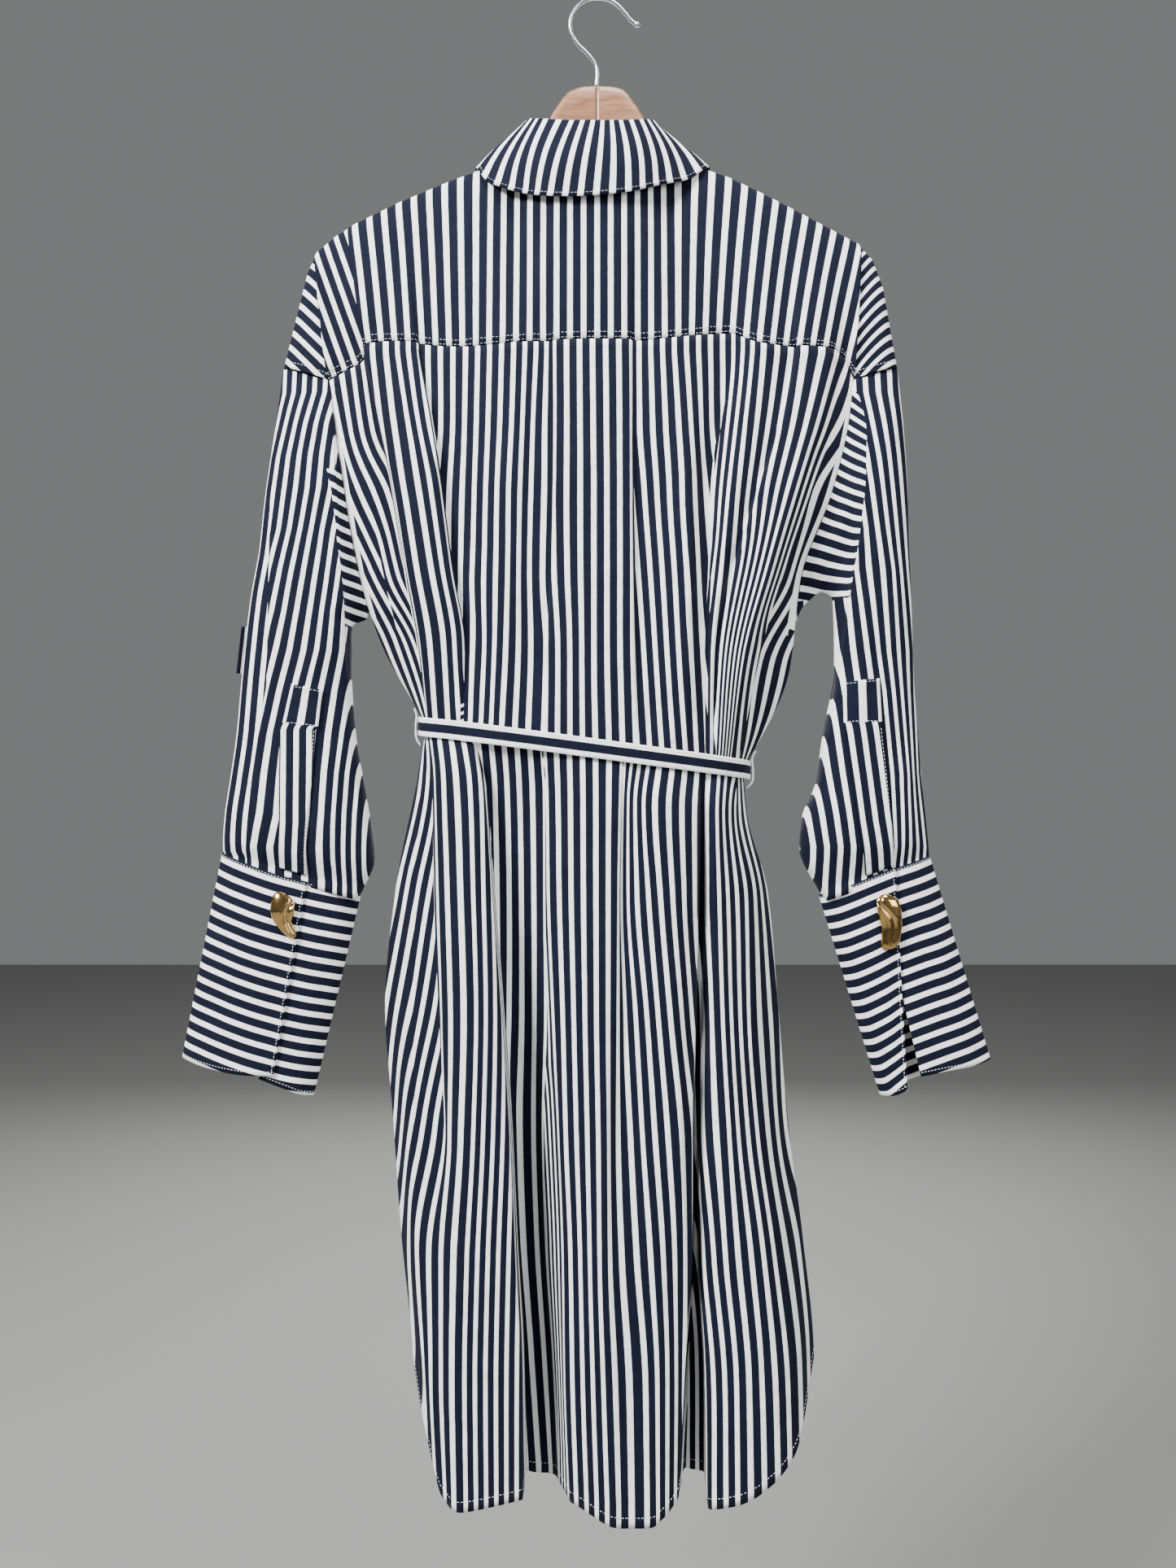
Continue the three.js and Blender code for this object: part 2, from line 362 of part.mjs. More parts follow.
// A bar or band: sections of points, each a closed loop, with flat ends
function bar(sections) {
  const rows = sections.length;
  const columns = sections[0].length;
  const points = [];
  for (const section of sections) {
    for (const p of section) points.push(p.x, p.y, p.z);
  }
  const faces = [];
  for (let r = 0; r < rows - 1; r += 1) {
    for (let c = 0; c < columns; c += 1) {
      const n = (c + 1) % columns;
      const a = r * columns;
      const b = a + columns;
      faces.push(a + c, a + n, b + n, a + c, b + n, b + c);
    }
  }
  const last = (rows - 1) * columns;
  for (let c = 1; c < columns - 1; c += 1) {
    faces.push(0, c + 1, c);
    faces.push(last, last + c, last + c + 1);
  }
  return solid(points, faces);
}

// A ring of sections closed on itself
function loop(sections) {
  const rows = sections.length;
  const columns = sections[0].length;
  const points = [];
  for (const section of sections) {
    for (const p of section) points.push(p.x, p.y, p.z);
  }
  const faces = [];
  for (let r = 0; r < rows; r += 1) {
    for (let c = 0; c < columns; c += 1) {
      const n = (c + 1) % columns;
      const a = r * columns;
      const b = ((r + 1) % rows) * columns;
      faces.push(a + c, a + n, b + n, a + c, b + n, b + c);
    }
  }
  return solid(points, faces);
}

// Geometry with its faces turned outwards
function solid(points, faces) {
  const p = (i) => new THREE.Vector3(points[3 * i], points[3 * i + 1], points[3 * i + 2]);
  let volume = 0;
  for (let i = 0; i < faces.length; i += 3) {
    volume += p(faces[i]).dot(p(faces[i + 1]).cross(p(faces[i + 2])));
  }
  const out = [...faces];
  if (volume < 0) {
    for (let i = 0; i < out.length; i += 3) [out[i + 1], out[i + 2]] = [out[i + 2], out[i + 1]];
  }
  const geometry = new THREE.BufferGeometry();
  geometry.setAttribute('position', new THREE.Float32BufferAttribute(points, 3));
  geometry.setIndex(out);
  return geometry;
}

const group = new THREE.Group();
function part(name, geometry, colour) {
  const mesh = new THREE.Mesh(geometry, new THREE.MeshStandardMaterial({ color: colour }));
  mesh.name = name;
  group.add(mesh);
}
const COTTON = 0xc9cfdd;
const GILT = 0xb07c32;
const WOOD = 0x9b7358;
const STEEL = 0xc8c8cc;

// Places across the back: every fold of both tables, and more where the cloth is plain
const EXTRA = [0.487, 0.575, 0.76];
const ALL_AT = [...UPPER_AT, ...LOWER_AT, ...YOKE.map((row) => row.at), ...EXTRA].sort((a, b) => a - b);
const ACROSS = ALL_AT.filter((u, i) => i === 0 || u - ALL_AT[i - 1] > 0.0004);
const topOf = (u) => smooth(UPPER_AT, UPPER.map((fold) => fold.top), u);
const hemOf = (u) => smooth(LOWER_AT, LOWER.map((fold) => fold.hem), u);
const UPPER_ROWS = [0, 0.1, 0.22, 0.36, 0.5, 0.64, 0.78, 0.9, 1];
const LOWER_ROWS = [0.06, 0.13, 0.21, 0.3, 0.39, 0.48, 0.57, 0.66, 0.75, 0.83, 0.9, 0.95, 1];

// Back panel with the box pleat
function backPanel() {
  const rows = UPPER_ROWS.map((t) => ACROSS.map((u) => backPoint(u, mix(topOf(u) - SEAM / 2, BELT_Z, t))));
  rows.push(...LOWER_ROWS.map((t) => ACROSS.map((u) => backPoint(u, mix(BELT_Z, hemOf(u), t)))));
  const square = (r, c) => {
    const p = rows[r][c];
    if (r === 0) return new THREE.Vector3(0, -1, 0);
    if (p.z > -505 || p.z < -1095) return null;
    if (c === 0) return new THREE.Vector3(-1, 0, 0);
    if (c === ACROSS.length - 1) return new THREE.Vector3(1, 0, 0);
    return null;
  };
  return wall(rows, -1, CLOTH, square);
}
part('back_panel', backPanel(), COTTON);

// Yoke from the back seam over the shoulders
const SHOULDERS = [YOKE.filter((row) => row.ridge && row.at < 0.5), YOKE.filter((row) => row.ridge && row.at > 0.5)];
const NECK = YOKE.filter((row) => row.neck);
function straight(rows, name, u) {
  let i = 0;
  while (i < rows.length - 2 && rows[i + 1].at < u) i += 1;
  const t = (u - rows[i].at) / (rows[i + 1].at - rows[i].at);
  return rows[i][name].map((value, k) => mix(value, rows[i + 1][name][k], t));
}
function yokeRun(u) {
  const seam = backPoint(u, topOf(u) + SEAM / 2);
  seam.z += 0.3;
  const side = SHOULDERS.find((rows) => u >= rows[0].at && u <= rows[rows.length - 1].at);
  if (!side) {
    const neck = vec(straight(NECK, 'neck', u));
    const middle = seam.clone().lerp(neck, 0.5);
    middle.y -= 1.5;
    return new THREE.CatmullRomCurve3([seam, middle, neck], false, 'centripetal');
  }
  const top = straight(side, 'ridge', u);
  const ridge = new THREE.Vector3(top[0], 0, top[1]);
  const front = vec(straight(side, 'front', u));
  const before = ridge.clone().lerp(seam, 6 / ridge.distanceTo(seam));
  before.y = -8.4;
  const after = ridge.clone().lerp(front, 6 / ridge.distanceTo(front));
  after.y = 8.4;
  const middle = before.clone().lerp(seam, 0.5);
  middle.y -= 2;
  return new THREE.CatmullRomCurve3([seam, middle, before, ridge, after, front], false, 'centripetal');
}
const inFront = (u) => SHOULDERS.some((side) => u >= side[0].at && u <= side[side.length - 1].at);
const OVER_SHOULDER = [0, 0.1, 0.2, 0.3, 0.4, 0.5, 0.6, 0.7, 0.8, 0.9, 1];
const TO_NECK = [0, 0.24, 0.48, 0.7, 0.87, 0.91, 0.93, 0.948, 0.965, 0.982, 1];
function yoke() {
  const runs = ACROSS.map((u) => (inFront(u) ? OVER_SHOULDER : TO_NECK).map((t) => yokeRun(u).getPoint(t)));
  const rows = OVER_SHOULDER.map((t, r) => runs.map((run) => run[r]));
  const square = (r, c) => {
    if (r === 0) return new THREE.Vector3(0, -1, 0);
    return r === rows.length - 1 && inFront(ACROSS[c]) ? new THREE.Vector3(0, 1, 0) : null;
  };
  return wall(rows, 1, CLOTH, square);
}
part('back_yoke', yoke(), COTTON);

// Fronts: top edge under the yoke and the neck, w is the place across 0..1
function frontTop() {
  const left = YOKE.filter((row) => row.front && row.at < 0.5);
  const right = YOKE.filter((row) => row.front && row.at > 0.5);
  const spread = (rows, from, to) => rows.map((row, i) => ({ w: mix(from, to, i / (rows.length - 1)), p: vec(row.front) }));
  const drop = (entry, i, all) => {
    const run = all[Math.min(i + 1, all.length - 1)].p.clone().sub(all[Math.max(i - 1, 0)].p);
    const away = new THREE.Vector3(run.z, 0, -run.x).normalize();
    return { w: entry.w, p: entry.p.clone().addScaledVector(away, 0.7) };
  };
  return [
    ...spread(left, 0, 0.36).map(drop),
    { w: 0.43, p: vec(NECK_FRONT.left) },
    { w: 0.5, p: vec(NECK_FRONT.middle) },
    { w: 0.57, p: vec(NECK_FRONT.right) },
    ...spread(right, 0.64, 1).map(drop),
  ];
}
const TOPS = frontTop();
const edgeX = (side, h) => {
  const fold = h > BELT_Z ? UPPER[side ? UPPER.length - 1 : 0] : LOWER[side ? LOWER.length - 1 : 0];
  return smooth(h > BELT_Z ? UPPER_UP : LOWER_UP, fold.x, -h);
};
const edgeY = (side, h) => {
  const fold = UPPER[side ? UPPER.length - 1 : 0];
  return h > BELT_Z ? -smooth(UPPER_UP, fold.y, -h) - SEAM : 0;
};
const bulge = (w) => Math.sqrt(Math.max(0, 1 - Math.abs(2 * w - 1) ** 2.6));
const DEEP_AT = [250, 404, 532, 607, 722, 908, 1100, 1190];
const DEEP = [26, 33, 36, 37, 39, 41, 42, 42];
const FOLD_AT = [300, 420, 560, 607, 680, 900, 1190];
const FOLD = [0.5, 2.5, 2, 0.5, 4, 7, 8];
function frontPoint(w, h) {
  const e = bulge(w);
  const folds = smooth(FOLD_AT, FOLD, -h) * e * Math.sin(2 * Math.PI * (3.5 * w + 0.18 + 0.1 * Math.sin(5 * w)));
  const y = mix(edgeY(w > 0.5, h), smooth(DEEP_AT, DEEP, -h), e) + folds;
  return new THREE.Vector3(mix(edgeX(0, h), edgeX(1, h), w), y, tilted(w, h));
}
const frontHem = (w) => -1100.5 + (FRONT_HEM + 1100.5) * bulge(w) ** 1.4;
const ARM_ROOT = -500.9; // height of the underarm
function front(from, to, places) {
  const tops = places.map((w) => {
    const k = (name) => smooth(TOPS.map((t) => t.w), TOPS.map((t) => t.p[name]), w);
    return new THREE.Vector3(k('x'), k('y'), k('z'));
  });
  const rows = [];
  for (const t of [0, 0.156, 0.343, 0.562, 0.78, 1]) {
    rows.push(places.map((w, i) => {
      const h = mix(tops[i].z, ARM_ROOT, t);
      const p = frontPoint(w, h);
      const off = tops[i].clone().sub(frontPoint(w, tops[i].z)).multiplyScalar((1 - t) ** 1.6);
      return new THREE.Vector3(p.x + off.x, p.y + off.y, p.z);
    }));
  }
  for (const h of [-535, -570, BELT_Z, -650, -700, -780, -860, -940, -1020]) {
    rows.push(places.map((w) => frontPoint(w, h)));
  }
  for (const t of [0.5, 1]) rows.push(places.map((w) => frontPoint(w, mix(-1020, frontHem(w), t))));
  const square = (r, c) => {
    const z = rows[r][c].z;
    if (r === 0) return new THREE.Vector3(0, 1, 0);
    if (z > -505 || z < -1098) return null;
    if (from === 0 && c === 0) return new THREE.Vector3(-1, 0, 0);
    if (to === 1 && c === places.length - 1) return new THREE.Vector3(1, 0, 0);
    return null;
  };
  return { rows, geometry: wall(rows, 1, CLOTH, square) };
}
const GAP_W = 0.0006;
const LEFT_W = [...TOPS.filter((t) => t.w < 0.44).map((t) => t.w), 0.45, 0.48, 0.5 - GAP_W];
const RIGHT_W = [0.5 + GAP_W, 0.52, 0.55, ...TOPS.filter((t) => t.w > 0.56).map((t) => t.w)];
part('front_left', front(0, 0.5, LEFT_W).geometry, COTTON);
part('front_right', front(0.5, 1, RIGHT_W).geometry, COTTON);

// Button band on the fronts, made from their points moved out
const BAND_W = [0.45, 0.48, 0.5 - GAP_W, 0.52, 0.55];
const bandRows = front(0.5, 0.5, BAND_W).rows.map((row) => row.map((p) => p.clone().setY(p.y + CLOTH + SEAM)));
part('front_band', wall(bandRows, 1, CLOTH, (r) => (r === 0 ? new THREE.Vector3(0, 1, 0) : null)), COTTON);

// Buttons down the middle of the band
const BUTTONS = [-225, -318, -412, -506, -700, -795, -890, -985];
const BUTTON = { radius: 5.5, thick: 2.2 };
BUTTONS.forEach((z, i) => {
  const below = bandRows.findIndex((row) => row[2].z < z);
  const [over, under] = [bandRows[below - 1], bandRows[below]];
  const middle = over[2].clone().lerp(under[2], (over[2].z - z) / (over[2].z - under[2].z));
  const down = under[2].clone().sub(over[2]).normalize();
  const out = over[3].clone().sub(over[1]).cross(down).normalize();
  if (out.y < 0) out.negate();
  const across = down.clone().cross(out);
  const sections = [0.6, 0.6 + BUTTON.thick].map((away) => {
    const section = [];
    for (let k = 0; k < 14; k += 1) {
      const a = (k / 14) * 2 * Math.PI;
      const p = middle.clone().addScaledVector(out, away);
      section.push(p.addScaledVector(across, BUTTON.radius * Math.cos(a)).addScaledVector(down, BUTTON.radius * Math.sin(a)));
    }
    return section;
  });
  part(`front_button_${i + 1}`, bar(sections), 0xe6e4dc);
});

// Collar, turned down over its stand
const awayFromNeck = (p) => new THREE.Vector3(p.x, p.y, 0).normalize();
function around(name, steps) {
  const run = new THREE.CatmullRomCurve3(COLLAR.map((row) => vec(row[name])), false, 'centripetal');
  const out = [];
  for (let i = 0; i <= steps; i += 1) out.push(run.getPoint(i / steps));
  return out;
}
const COLLAR_STEPS = 28;
function collarFall() {
  const roll = around('roll', COLLAR_STEPS);
  const edge = around('edge', COLLAR_STEPS);
  const rows = [0, 0.12, 0.3, 0.55, 0.8, 1].map((t) => roll.map((p, i) => {
    const q = p.clone().lerp(edge[i], t);
    const out = 3.5 * Math.sin(Math.PI * Math.min(1, t * 1.05));
    return q.addScaledVector(awayFromNeck(q), out);
  }));
  return wall(rows, -1);
}
part('collar_fall', collarFall(), COTTON);

function collarStand() {
  const roll = around('roll', COLLAR_STEPS);
  const seam = around('seam', COLLAR_STEPS);
  const top = roll.map((p) => p.clone().addScaledVector(awayFromNeck(p), -2.1).add(new THREE.Vector3(0, 0, -1)));
  const rows = [0, 0.35, 0.7, 1].map((t) => top.map((p, i) => p.clone().lerp(seam[i], t)));
  return wall(rows, -1);
}
part('collar_stand', collarStand(), COTTON);

// Sleeves
const ACROSS_SLEEVE = [0, 0.1, 0.28, 0.52, 0.78];
const flank = (f) => Math.sqrt(1 - (1 - f) ** 3);
function sleeveRings(side) {
  const { armhole, rings } = SLEEVES[side];
  const sign = side === 0 ? -1 : 1;
  const u = side === 0 ? 0 : 1;
  const hole = [0, 0.1, 0.22, 0.36, 0.5, 0.64].map((t) => backPoint(u, mix(topOf(u) - SEAM / 2, BELT_Z, t)));
  for (const p of hole) p.x += sign * 0.5;
  hole[0].z -= 0.4;
  hole[0].x += sign * 0.2;
  hole[5].y = -0.2;
  const half = [];
  const first = ACROSS_SLEEVE.map((f) => new THREE.Vector3(mix(armhole[0], hole[0].x, f), 10 * -flank(f), mix(armhole[1], hole[0].z, f)));
  half.push([...first, ...hole]);
  for (const ring of rings) {
    const { outer, fold, web, under, deep } = ring;
    const flat = ACROSS_SLEEVE.map((f) => new THREE.Vector3(mix(outer[0], fold[0], f), -deep * flank(f), mix(outer[1], fold[2], f)));
    const turn = new THREE.CatmullRomCurve3([vec(fold), vec(web[0]), vec(web[1]), new THREE.Vector3(under[0], 0, under[1])], false, 'centripetal');
    half.push([...flat, ...[0, 0.2, 0.4, 0.6, 0.8, 1].map((t) => turn.getPoint(t))]);
  }
  return half;
}
function mirrored(half) {
  return half.map((row) => {
    const front = row.slice(1, -1).reverse().map((p) => new THREE.Vector3(p.x, -p.y, p.z));
    const last = row[row.length - 1].clone();
    last.y = 0;
    return [...row.slice(0, -1), last, ...front];
  });
}
function sleeve(side) {
  return tube(mirrored(sleeveRings(side)), side === 0 ? -1 : 1);
}
part('sleeve_left', sleeve(0), COTTON);
part('sleeve_right', sleeve(1), COTTON);

// Depth of the back of a sleeve at x and z
function sleeveBack(side, x, z) {
  const rings = SLEEVES[side].rings;
  const at = (name, k, t) => mix(rings[Math.floor(t)][name][k], rings[Math.min(Math.floor(t) + 1, rings.length - 1)][name][k], t % 1);
  let low = 0;
  let high = rings.length - 1.0001;
  for (let i = 0; i < 40; i += 1) {
    const t = (low + high) / 2;
    const f = (x - at('outer', 0, t)) / (at('fold', 0, t) - at('outer', 0, t));
    if (mix(at('outer', 1, t), at('fold', 2, t), f) > z) low = t;
    else high = t;
  }
  const f = Math.min(1, Math.max(0, (x - at('outer', 0, low)) / (at('fold', 0, low) - at('outer', 0, low))));
  const deep = mix(rings[Math.floor(low)].deep, rings[Math.min(Math.floor(low) + 1, rings.length - 1)].deep, low % 1);
  return f < 0.78 ? -deep * flank(f) : mix(-deep * flank(0.78), at('fold', 1, low), (f - 0.78) / 0.22);
}

// Sleeve plackets laid on the sleeves
const PLACKET_OUT = [0.95, 2.0];
function placket(side) {
  const rows = PLACKETS[side].map((row) => [0, 0.25, 0.5, 0.75, 1].map((t) => {
    const x = mix(row.left[0], row.right[0], t);
    const z = mix(row.left[1], row.right[1], t);
    return new THREE.Vector3(x, sleeveBack(side, x, z) - CLOTH - PLACKET_OUT[side], z);
  }));
  return wall(rows, -1);
}
part('placket_left', placket(0), COTTON);
part('placket_right', placket(1), COTTON);

// Cuffs, each a strip wrapped round with its ends lapped
function cuff(side) {
  const top = new THREE.CatmullRomCurve3(CUFFS[side].map((row) => vec(row.top)), false, 'centripetal');
  const hem = new THREE.CatmullRomCurve3(CUFFS[side].map((row) => vec(row.hem)), false, 'centripetal');
  const steps = 24;
  const rows = [0, 0.25, 0.5, 0.75, 1].map((t) => {
    const row = [];
    for (let i = 0; i <= steps; i += 1) row.push(top.getPoint(i / steps).lerp(hem.getPoint(i / steps), t));
    return row;
  });
  return wall(rows, 1);
}
part('cuff_left', cuff(0), COTTON);
part('cuff_right', cuff(1), COTTON);

// Bean-shaped cuff buttons: a row per section, height up its length, half width and sideways bend
const BEAN_LEFT = [
  { up: -0.5, half: 0.05, bend: 0.3 },
  { up: -0.465, half: 0.16, bend: 0.285 },
  { up: -0.37, half: 0.26, bend: 0.18 },
  { up: -0.25, half: 0.31, bend: 0.05 },
  { up: -0.14, half: 0.35, bend: -0.055 },
  { up: -0.02, half: 0.43, bend: -0.07 },
  { up: 0.1, half: 0.48, bend: -0.06 },
  { up: 0.22, half: 0.47, bend: -0.055 },
  { up: 0.33, half: 0.39, bend: -0.09 },
  { up: 0.43, half: 0.26, bend: -0.14 },
  { up: 0.5, half: 0.06, bend: -0.16 },
];
const BEAN_RIGHT = [
  { up: -0.5, half: 0.05, bend: -0.06 },
  { up: -0.44, half: 0.29, bend: 0.03 },
  { up: -0.345, half: 0.36, bend: 0.1 },
  { up: -0.225, half: 0.38, bend: 0.13 },
  { up: -0.11, half: 0.4, bend: 0.145 },
  { up: 0.03, half: 0.435, bend: 0.115 },
  { up: 0.145, half: 0.47, bend: 0.075 },
  { up: 0.265, half: 0.47, bend: 0.04 },
  { up: 0.365, half: 0.435, bend: 0 },
  { up: 0.44, half: 0.31, bend: -0.035 },
  { up: 0.5, half: 0.08, bend: -0.085 },
];
function bean(table, x, y, z, wide, long) {
  const sections = table.map((row) => {
    const section = [];
    for (let i = 0; i < 12; i += 1) {
      const a = (i / 12) * 2 * Math.PI;
      const side = Math.cos(a) * row.half * wide + row.bend * wide;
      const out = Math.max(0, Math.sin(a)) * row.half * 11 + 1.2;
      const deep = Math.sin(a) < -0.1 ? 0 : out;
      section.push(new THREE.Vector3(x + side, y - deep, z + row.up * long));
    }
    return section;
  });
  return bar(sections);
}
part('cuff_button_left', bean(BEAN_LEFT, -248.7, -18.2, -740, 20.6, 37.3), GILT);
part('cuff_button_right', bean(BEAN_RIGHT, 231.7, -17.9, -746, 20.6, 44.7), GILT);

// Belt round the waist
const BELT_HIGH = 15;
const BELT_THICK = 1.4;
function waistPath() {
  const turn = (t) => 0.5 - 0.5 * Math.cos(Math.PI * t);
  const points = [];
  for (let i = 0; i <= 22; i += 1) points.push(backPoint(turn(i / 22), BELT_Z));
  for (let i = 21; i > 0; i -= 1) points.push(frontPoint(turn(i / 22), BELT_Z));
  return points;
}
function beltPath(out) {
  const path = waistPath();
  return path.map((p, i) => {
    const before = path[(i + path.length - 1) % path.length];
    const after = path[(i + 1) % path.length];
    const away = new THREE.Vector3(after.y - before.y, before.x - after.x, 0).normalize();
    return p.clone().addScaledVector(away, out);
  });
}
const BELT_OUT = 4.6;
function belt() {
  const inner = beltPath(BELT_OUT);
  const outer = beltPath(BELT_OUT + BELT_THICK);
  const up = new THREE.Vector3(0, 0, BELT_HIGH / 2);
  return loop(inner.map((p, i) => [p.clone().add(up), outer[i].clone().add(up), outer[i].clone().sub(up), p.clone().sub(up)]));
}
part('belt', belt(), COTTON);

// Knot and hanging ends of the belt, in front
const KNOT = [[-13, 3.5], [-10, 7], [-4, 8.5], [4, 8.5], [10, 7], [13, 3.5]]; // [place along it, half height]
const KNOT_X = -8;
function knot() {
  const face = frontPoint(0.5, BELT_Z).y + BELT_OUT + BELT_THICK + 0.5;
  const sections = KNOT.map(([along, half]) => {
    const section = [];
    for (let k = 0; k < 10; k += 1) {
      const a = (k / 10) * 2 * Math.PI;
      section.push(new THREE.Vector3(KNOT_X + along, face + 0.62 * (8.5 + half * Math.cos(a)), -608 + 1.1 * half * Math.sin(a)));
    }
    return section;
  });
  return bar(sections);
}
part('belt_knot', knot(), COTTON);
function beltEnd(x, slant, low) {
  const sections = [];
  for (let i = 0; i <= 10; i += 1) {
    const z = mix(-617.25, low, i / 10);
    const middle = x + slant * (i / 10);
    const y = frontPoint(0.5, z).y + 11.1;
    const section = [[-7.5, 0], [7.5, 0], [7.5, BELT_THICK], [-7.5, BELT_THICK]];
    sections.push(section.map(([dx, dy]) => new THREE.Vector3(middle + dx, y + dy, z)));
  }
  return bar(sections);
}
part('belt_end_left', beltEnd(-16, -12, -905), COTTON);
part('belt_end_right', beltEnd(0, 14, -935), COTTON);

// Thread loops that hold the belt at the side seams
function threadLoop(u) {
  const sign = u === 0 ? -1 : 1;
  const middle = tilted(u, BELT_Z);
  const edge = (z) => edgeX(u, z - middle + BELT_Z) + sign * 1.7;
  const reach = mix(WAIST[0], WAIST[1], u) + sign * (BELT_OUT + BELT_THICK + 1.4);
  const path = [[edge(middle + 15), middle + 15], [reach, middle + 9.5], [reach + sign * 0.6, middle], [reach, middle - 9.5], [edge(middle - 15), middle - 15]];
  const run = new THREE.CatmullRomCurve3(path.map(([x, z]) => new THREE.Vector3(x, 0, z)));
  return cord(run, 12, 6, () => 0.85);
}
function cord(run, steps, sides, radius) {
  const sections = [];
  for (let i = 0; i <= steps; i += 1) {
    const p = run.getPointAt(i / steps);
    const way = run.getTangentAt(i / steps);
    const across = new THREE.Vector3(0, 1, 0);
    const over = way.clone().cross(across).normalize();
    const section = [];
    for (let k = 0; k < sides; k += 1) {
      const a = (k / sides) * 2 * Math.PI;
      const r = radius(i / steps);
      section.push(p.clone().addScaledVector(across, r * Math.cos(a)).addScaledVector(over, r * Math.sin(a)));
    }
    sections.push(section);
  }
  return bar(sections);
}
part('belt_loop_left', threadLoop(0), 0xe4e4e4);
part('belt_loop_right', threadLoop(1), 0xe4e4e4);

// Small tab whose edge stands out beside the left sleeve
function sleeveTab() {
  const run = [[-290.5, 1.5], [-287.6, 6.5], [-283, 11], [-276, 14.2], [-266, 18]];
  const rows = [-508, -521, -534, -546].map((z) => run.map(([x, y]) => new THREE.Vector3(x - 0.11 * (z + 527) * -1, y, z)));
  return wall(rows, 1);
}
part('sleeve_tab_left', sleeveTab(), COTTON);

// Hanger: two wooden arms and the wire hook
function arm(side) {
  const sign = side === 0 ? -1 : 1;
  const top = ARM_TOPS[side];
  const sections = top.map(([d, z], i) => {
    const low = smooth(ARM_BOTTOM.map((p) => p[0]), ARM_BOTTOM.map((p) => p[1]), d);
    const half = i === top.length - 1 ? 4 : ARM_HALF;
    const bevel = Math.min(4, (z - low) / 4);
    const x = sign * Math.max(d, 0.15);
    return [[0.5, 0], [1, bevel], [1, z - low - bevel], [0.5, z - low], [-0.5, z - low], [-1, z - low - bevel], [-1, bevel], [-0.5, 0]]
      .map(([w, down]) => new THREE.Vector3(x, w * half, z - down));
  });
  return bar(sections);
}
part('hanger_left', arm(0), WOOD);
part('hanger_right', arm(1), WOOD);
function hook() {
  const run = new THREE.CatmullRomCurve3(HOOK.map(([x, z]) => new THREE.Vector3(x, 0, z)), false, 'centripetal');
  const ball = (t) => (t > 0.955 ? mix(WIRE, 2.2, Math.min(1, (t - 0.955) / 0.015)) * (t > 0.985 ? 0.75 : 1) : WIRE);
  return cord(run, 40, 8, ball);
}
part('hanger_hook', hook(), STEEL);

export default group;
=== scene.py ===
# Looks of a striped cotton shirt dress, seen from the back, hung on a wooden hanger.
# Tables and shapes are in millimetres, Z up, with the back of the dress towards -Y.
# The origin is the inside top of the hanger hook.
import math
import bpy
import numpy as np
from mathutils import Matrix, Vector


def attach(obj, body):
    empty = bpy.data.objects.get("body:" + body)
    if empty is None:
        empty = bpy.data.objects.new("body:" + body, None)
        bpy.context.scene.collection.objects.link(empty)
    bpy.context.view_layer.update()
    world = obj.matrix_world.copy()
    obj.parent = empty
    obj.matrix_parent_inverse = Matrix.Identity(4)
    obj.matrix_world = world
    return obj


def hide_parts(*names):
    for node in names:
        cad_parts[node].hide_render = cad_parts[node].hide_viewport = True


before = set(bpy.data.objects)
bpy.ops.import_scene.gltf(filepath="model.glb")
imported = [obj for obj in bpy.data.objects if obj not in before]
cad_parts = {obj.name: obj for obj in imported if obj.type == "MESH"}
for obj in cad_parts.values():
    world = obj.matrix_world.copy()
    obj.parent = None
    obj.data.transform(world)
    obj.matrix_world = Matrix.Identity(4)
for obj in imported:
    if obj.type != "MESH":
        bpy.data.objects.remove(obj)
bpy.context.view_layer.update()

# Camera
# Level with the middle of the dress and just over a metre behind it, as the photograph was taken.
camera = bpy.data.objects.new("camera", bpy.data.cameras.new("camera"))
camera.data.sensor_width = 36
camera.data.lens = 29.72
camera.location = (-0.0069, -1.05, -0.636)
camera.rotation_euler = (math.pi / 2, 0, 0)
bpy.context.collection.objects.link(camera)
bpy.context.scene.camera = camera

# Hanger arms
# Two arms of pale brown hardwood, shaped flat with rounded edges and butted in the middle.
# The grain runs along them, under a satin varnish.
ARM_BOTTOM = [(0, -121), (30, -130), (52, -160), (75, -176), (118, -185), (160, -198), (192, -208), (210, -213),
              (219, -214)]
ARM_TOPS = {
    "left": [(0, -71.2), (10, -71.6), (22.4, -76), (30, -85), (37.6, -97), (48, -122), (55, -138), (64, -145.5),
             (84, -147), (118, -151), (160, -168), (192, -184), (208, -194), (216, -202), (219, -208)],
    "right": [(0, -71.2), (10, -71.5), (21, -74), (30, -84), (37.6, -96), (47, -124), (52, -141), (62, -146),
              (84, -147), (108, -150), (134, -161), (163, -176), (190, -190.5), (206, -200), (214, -206.5),
              (217, -210.5)],
}
ARM_HALF = 6


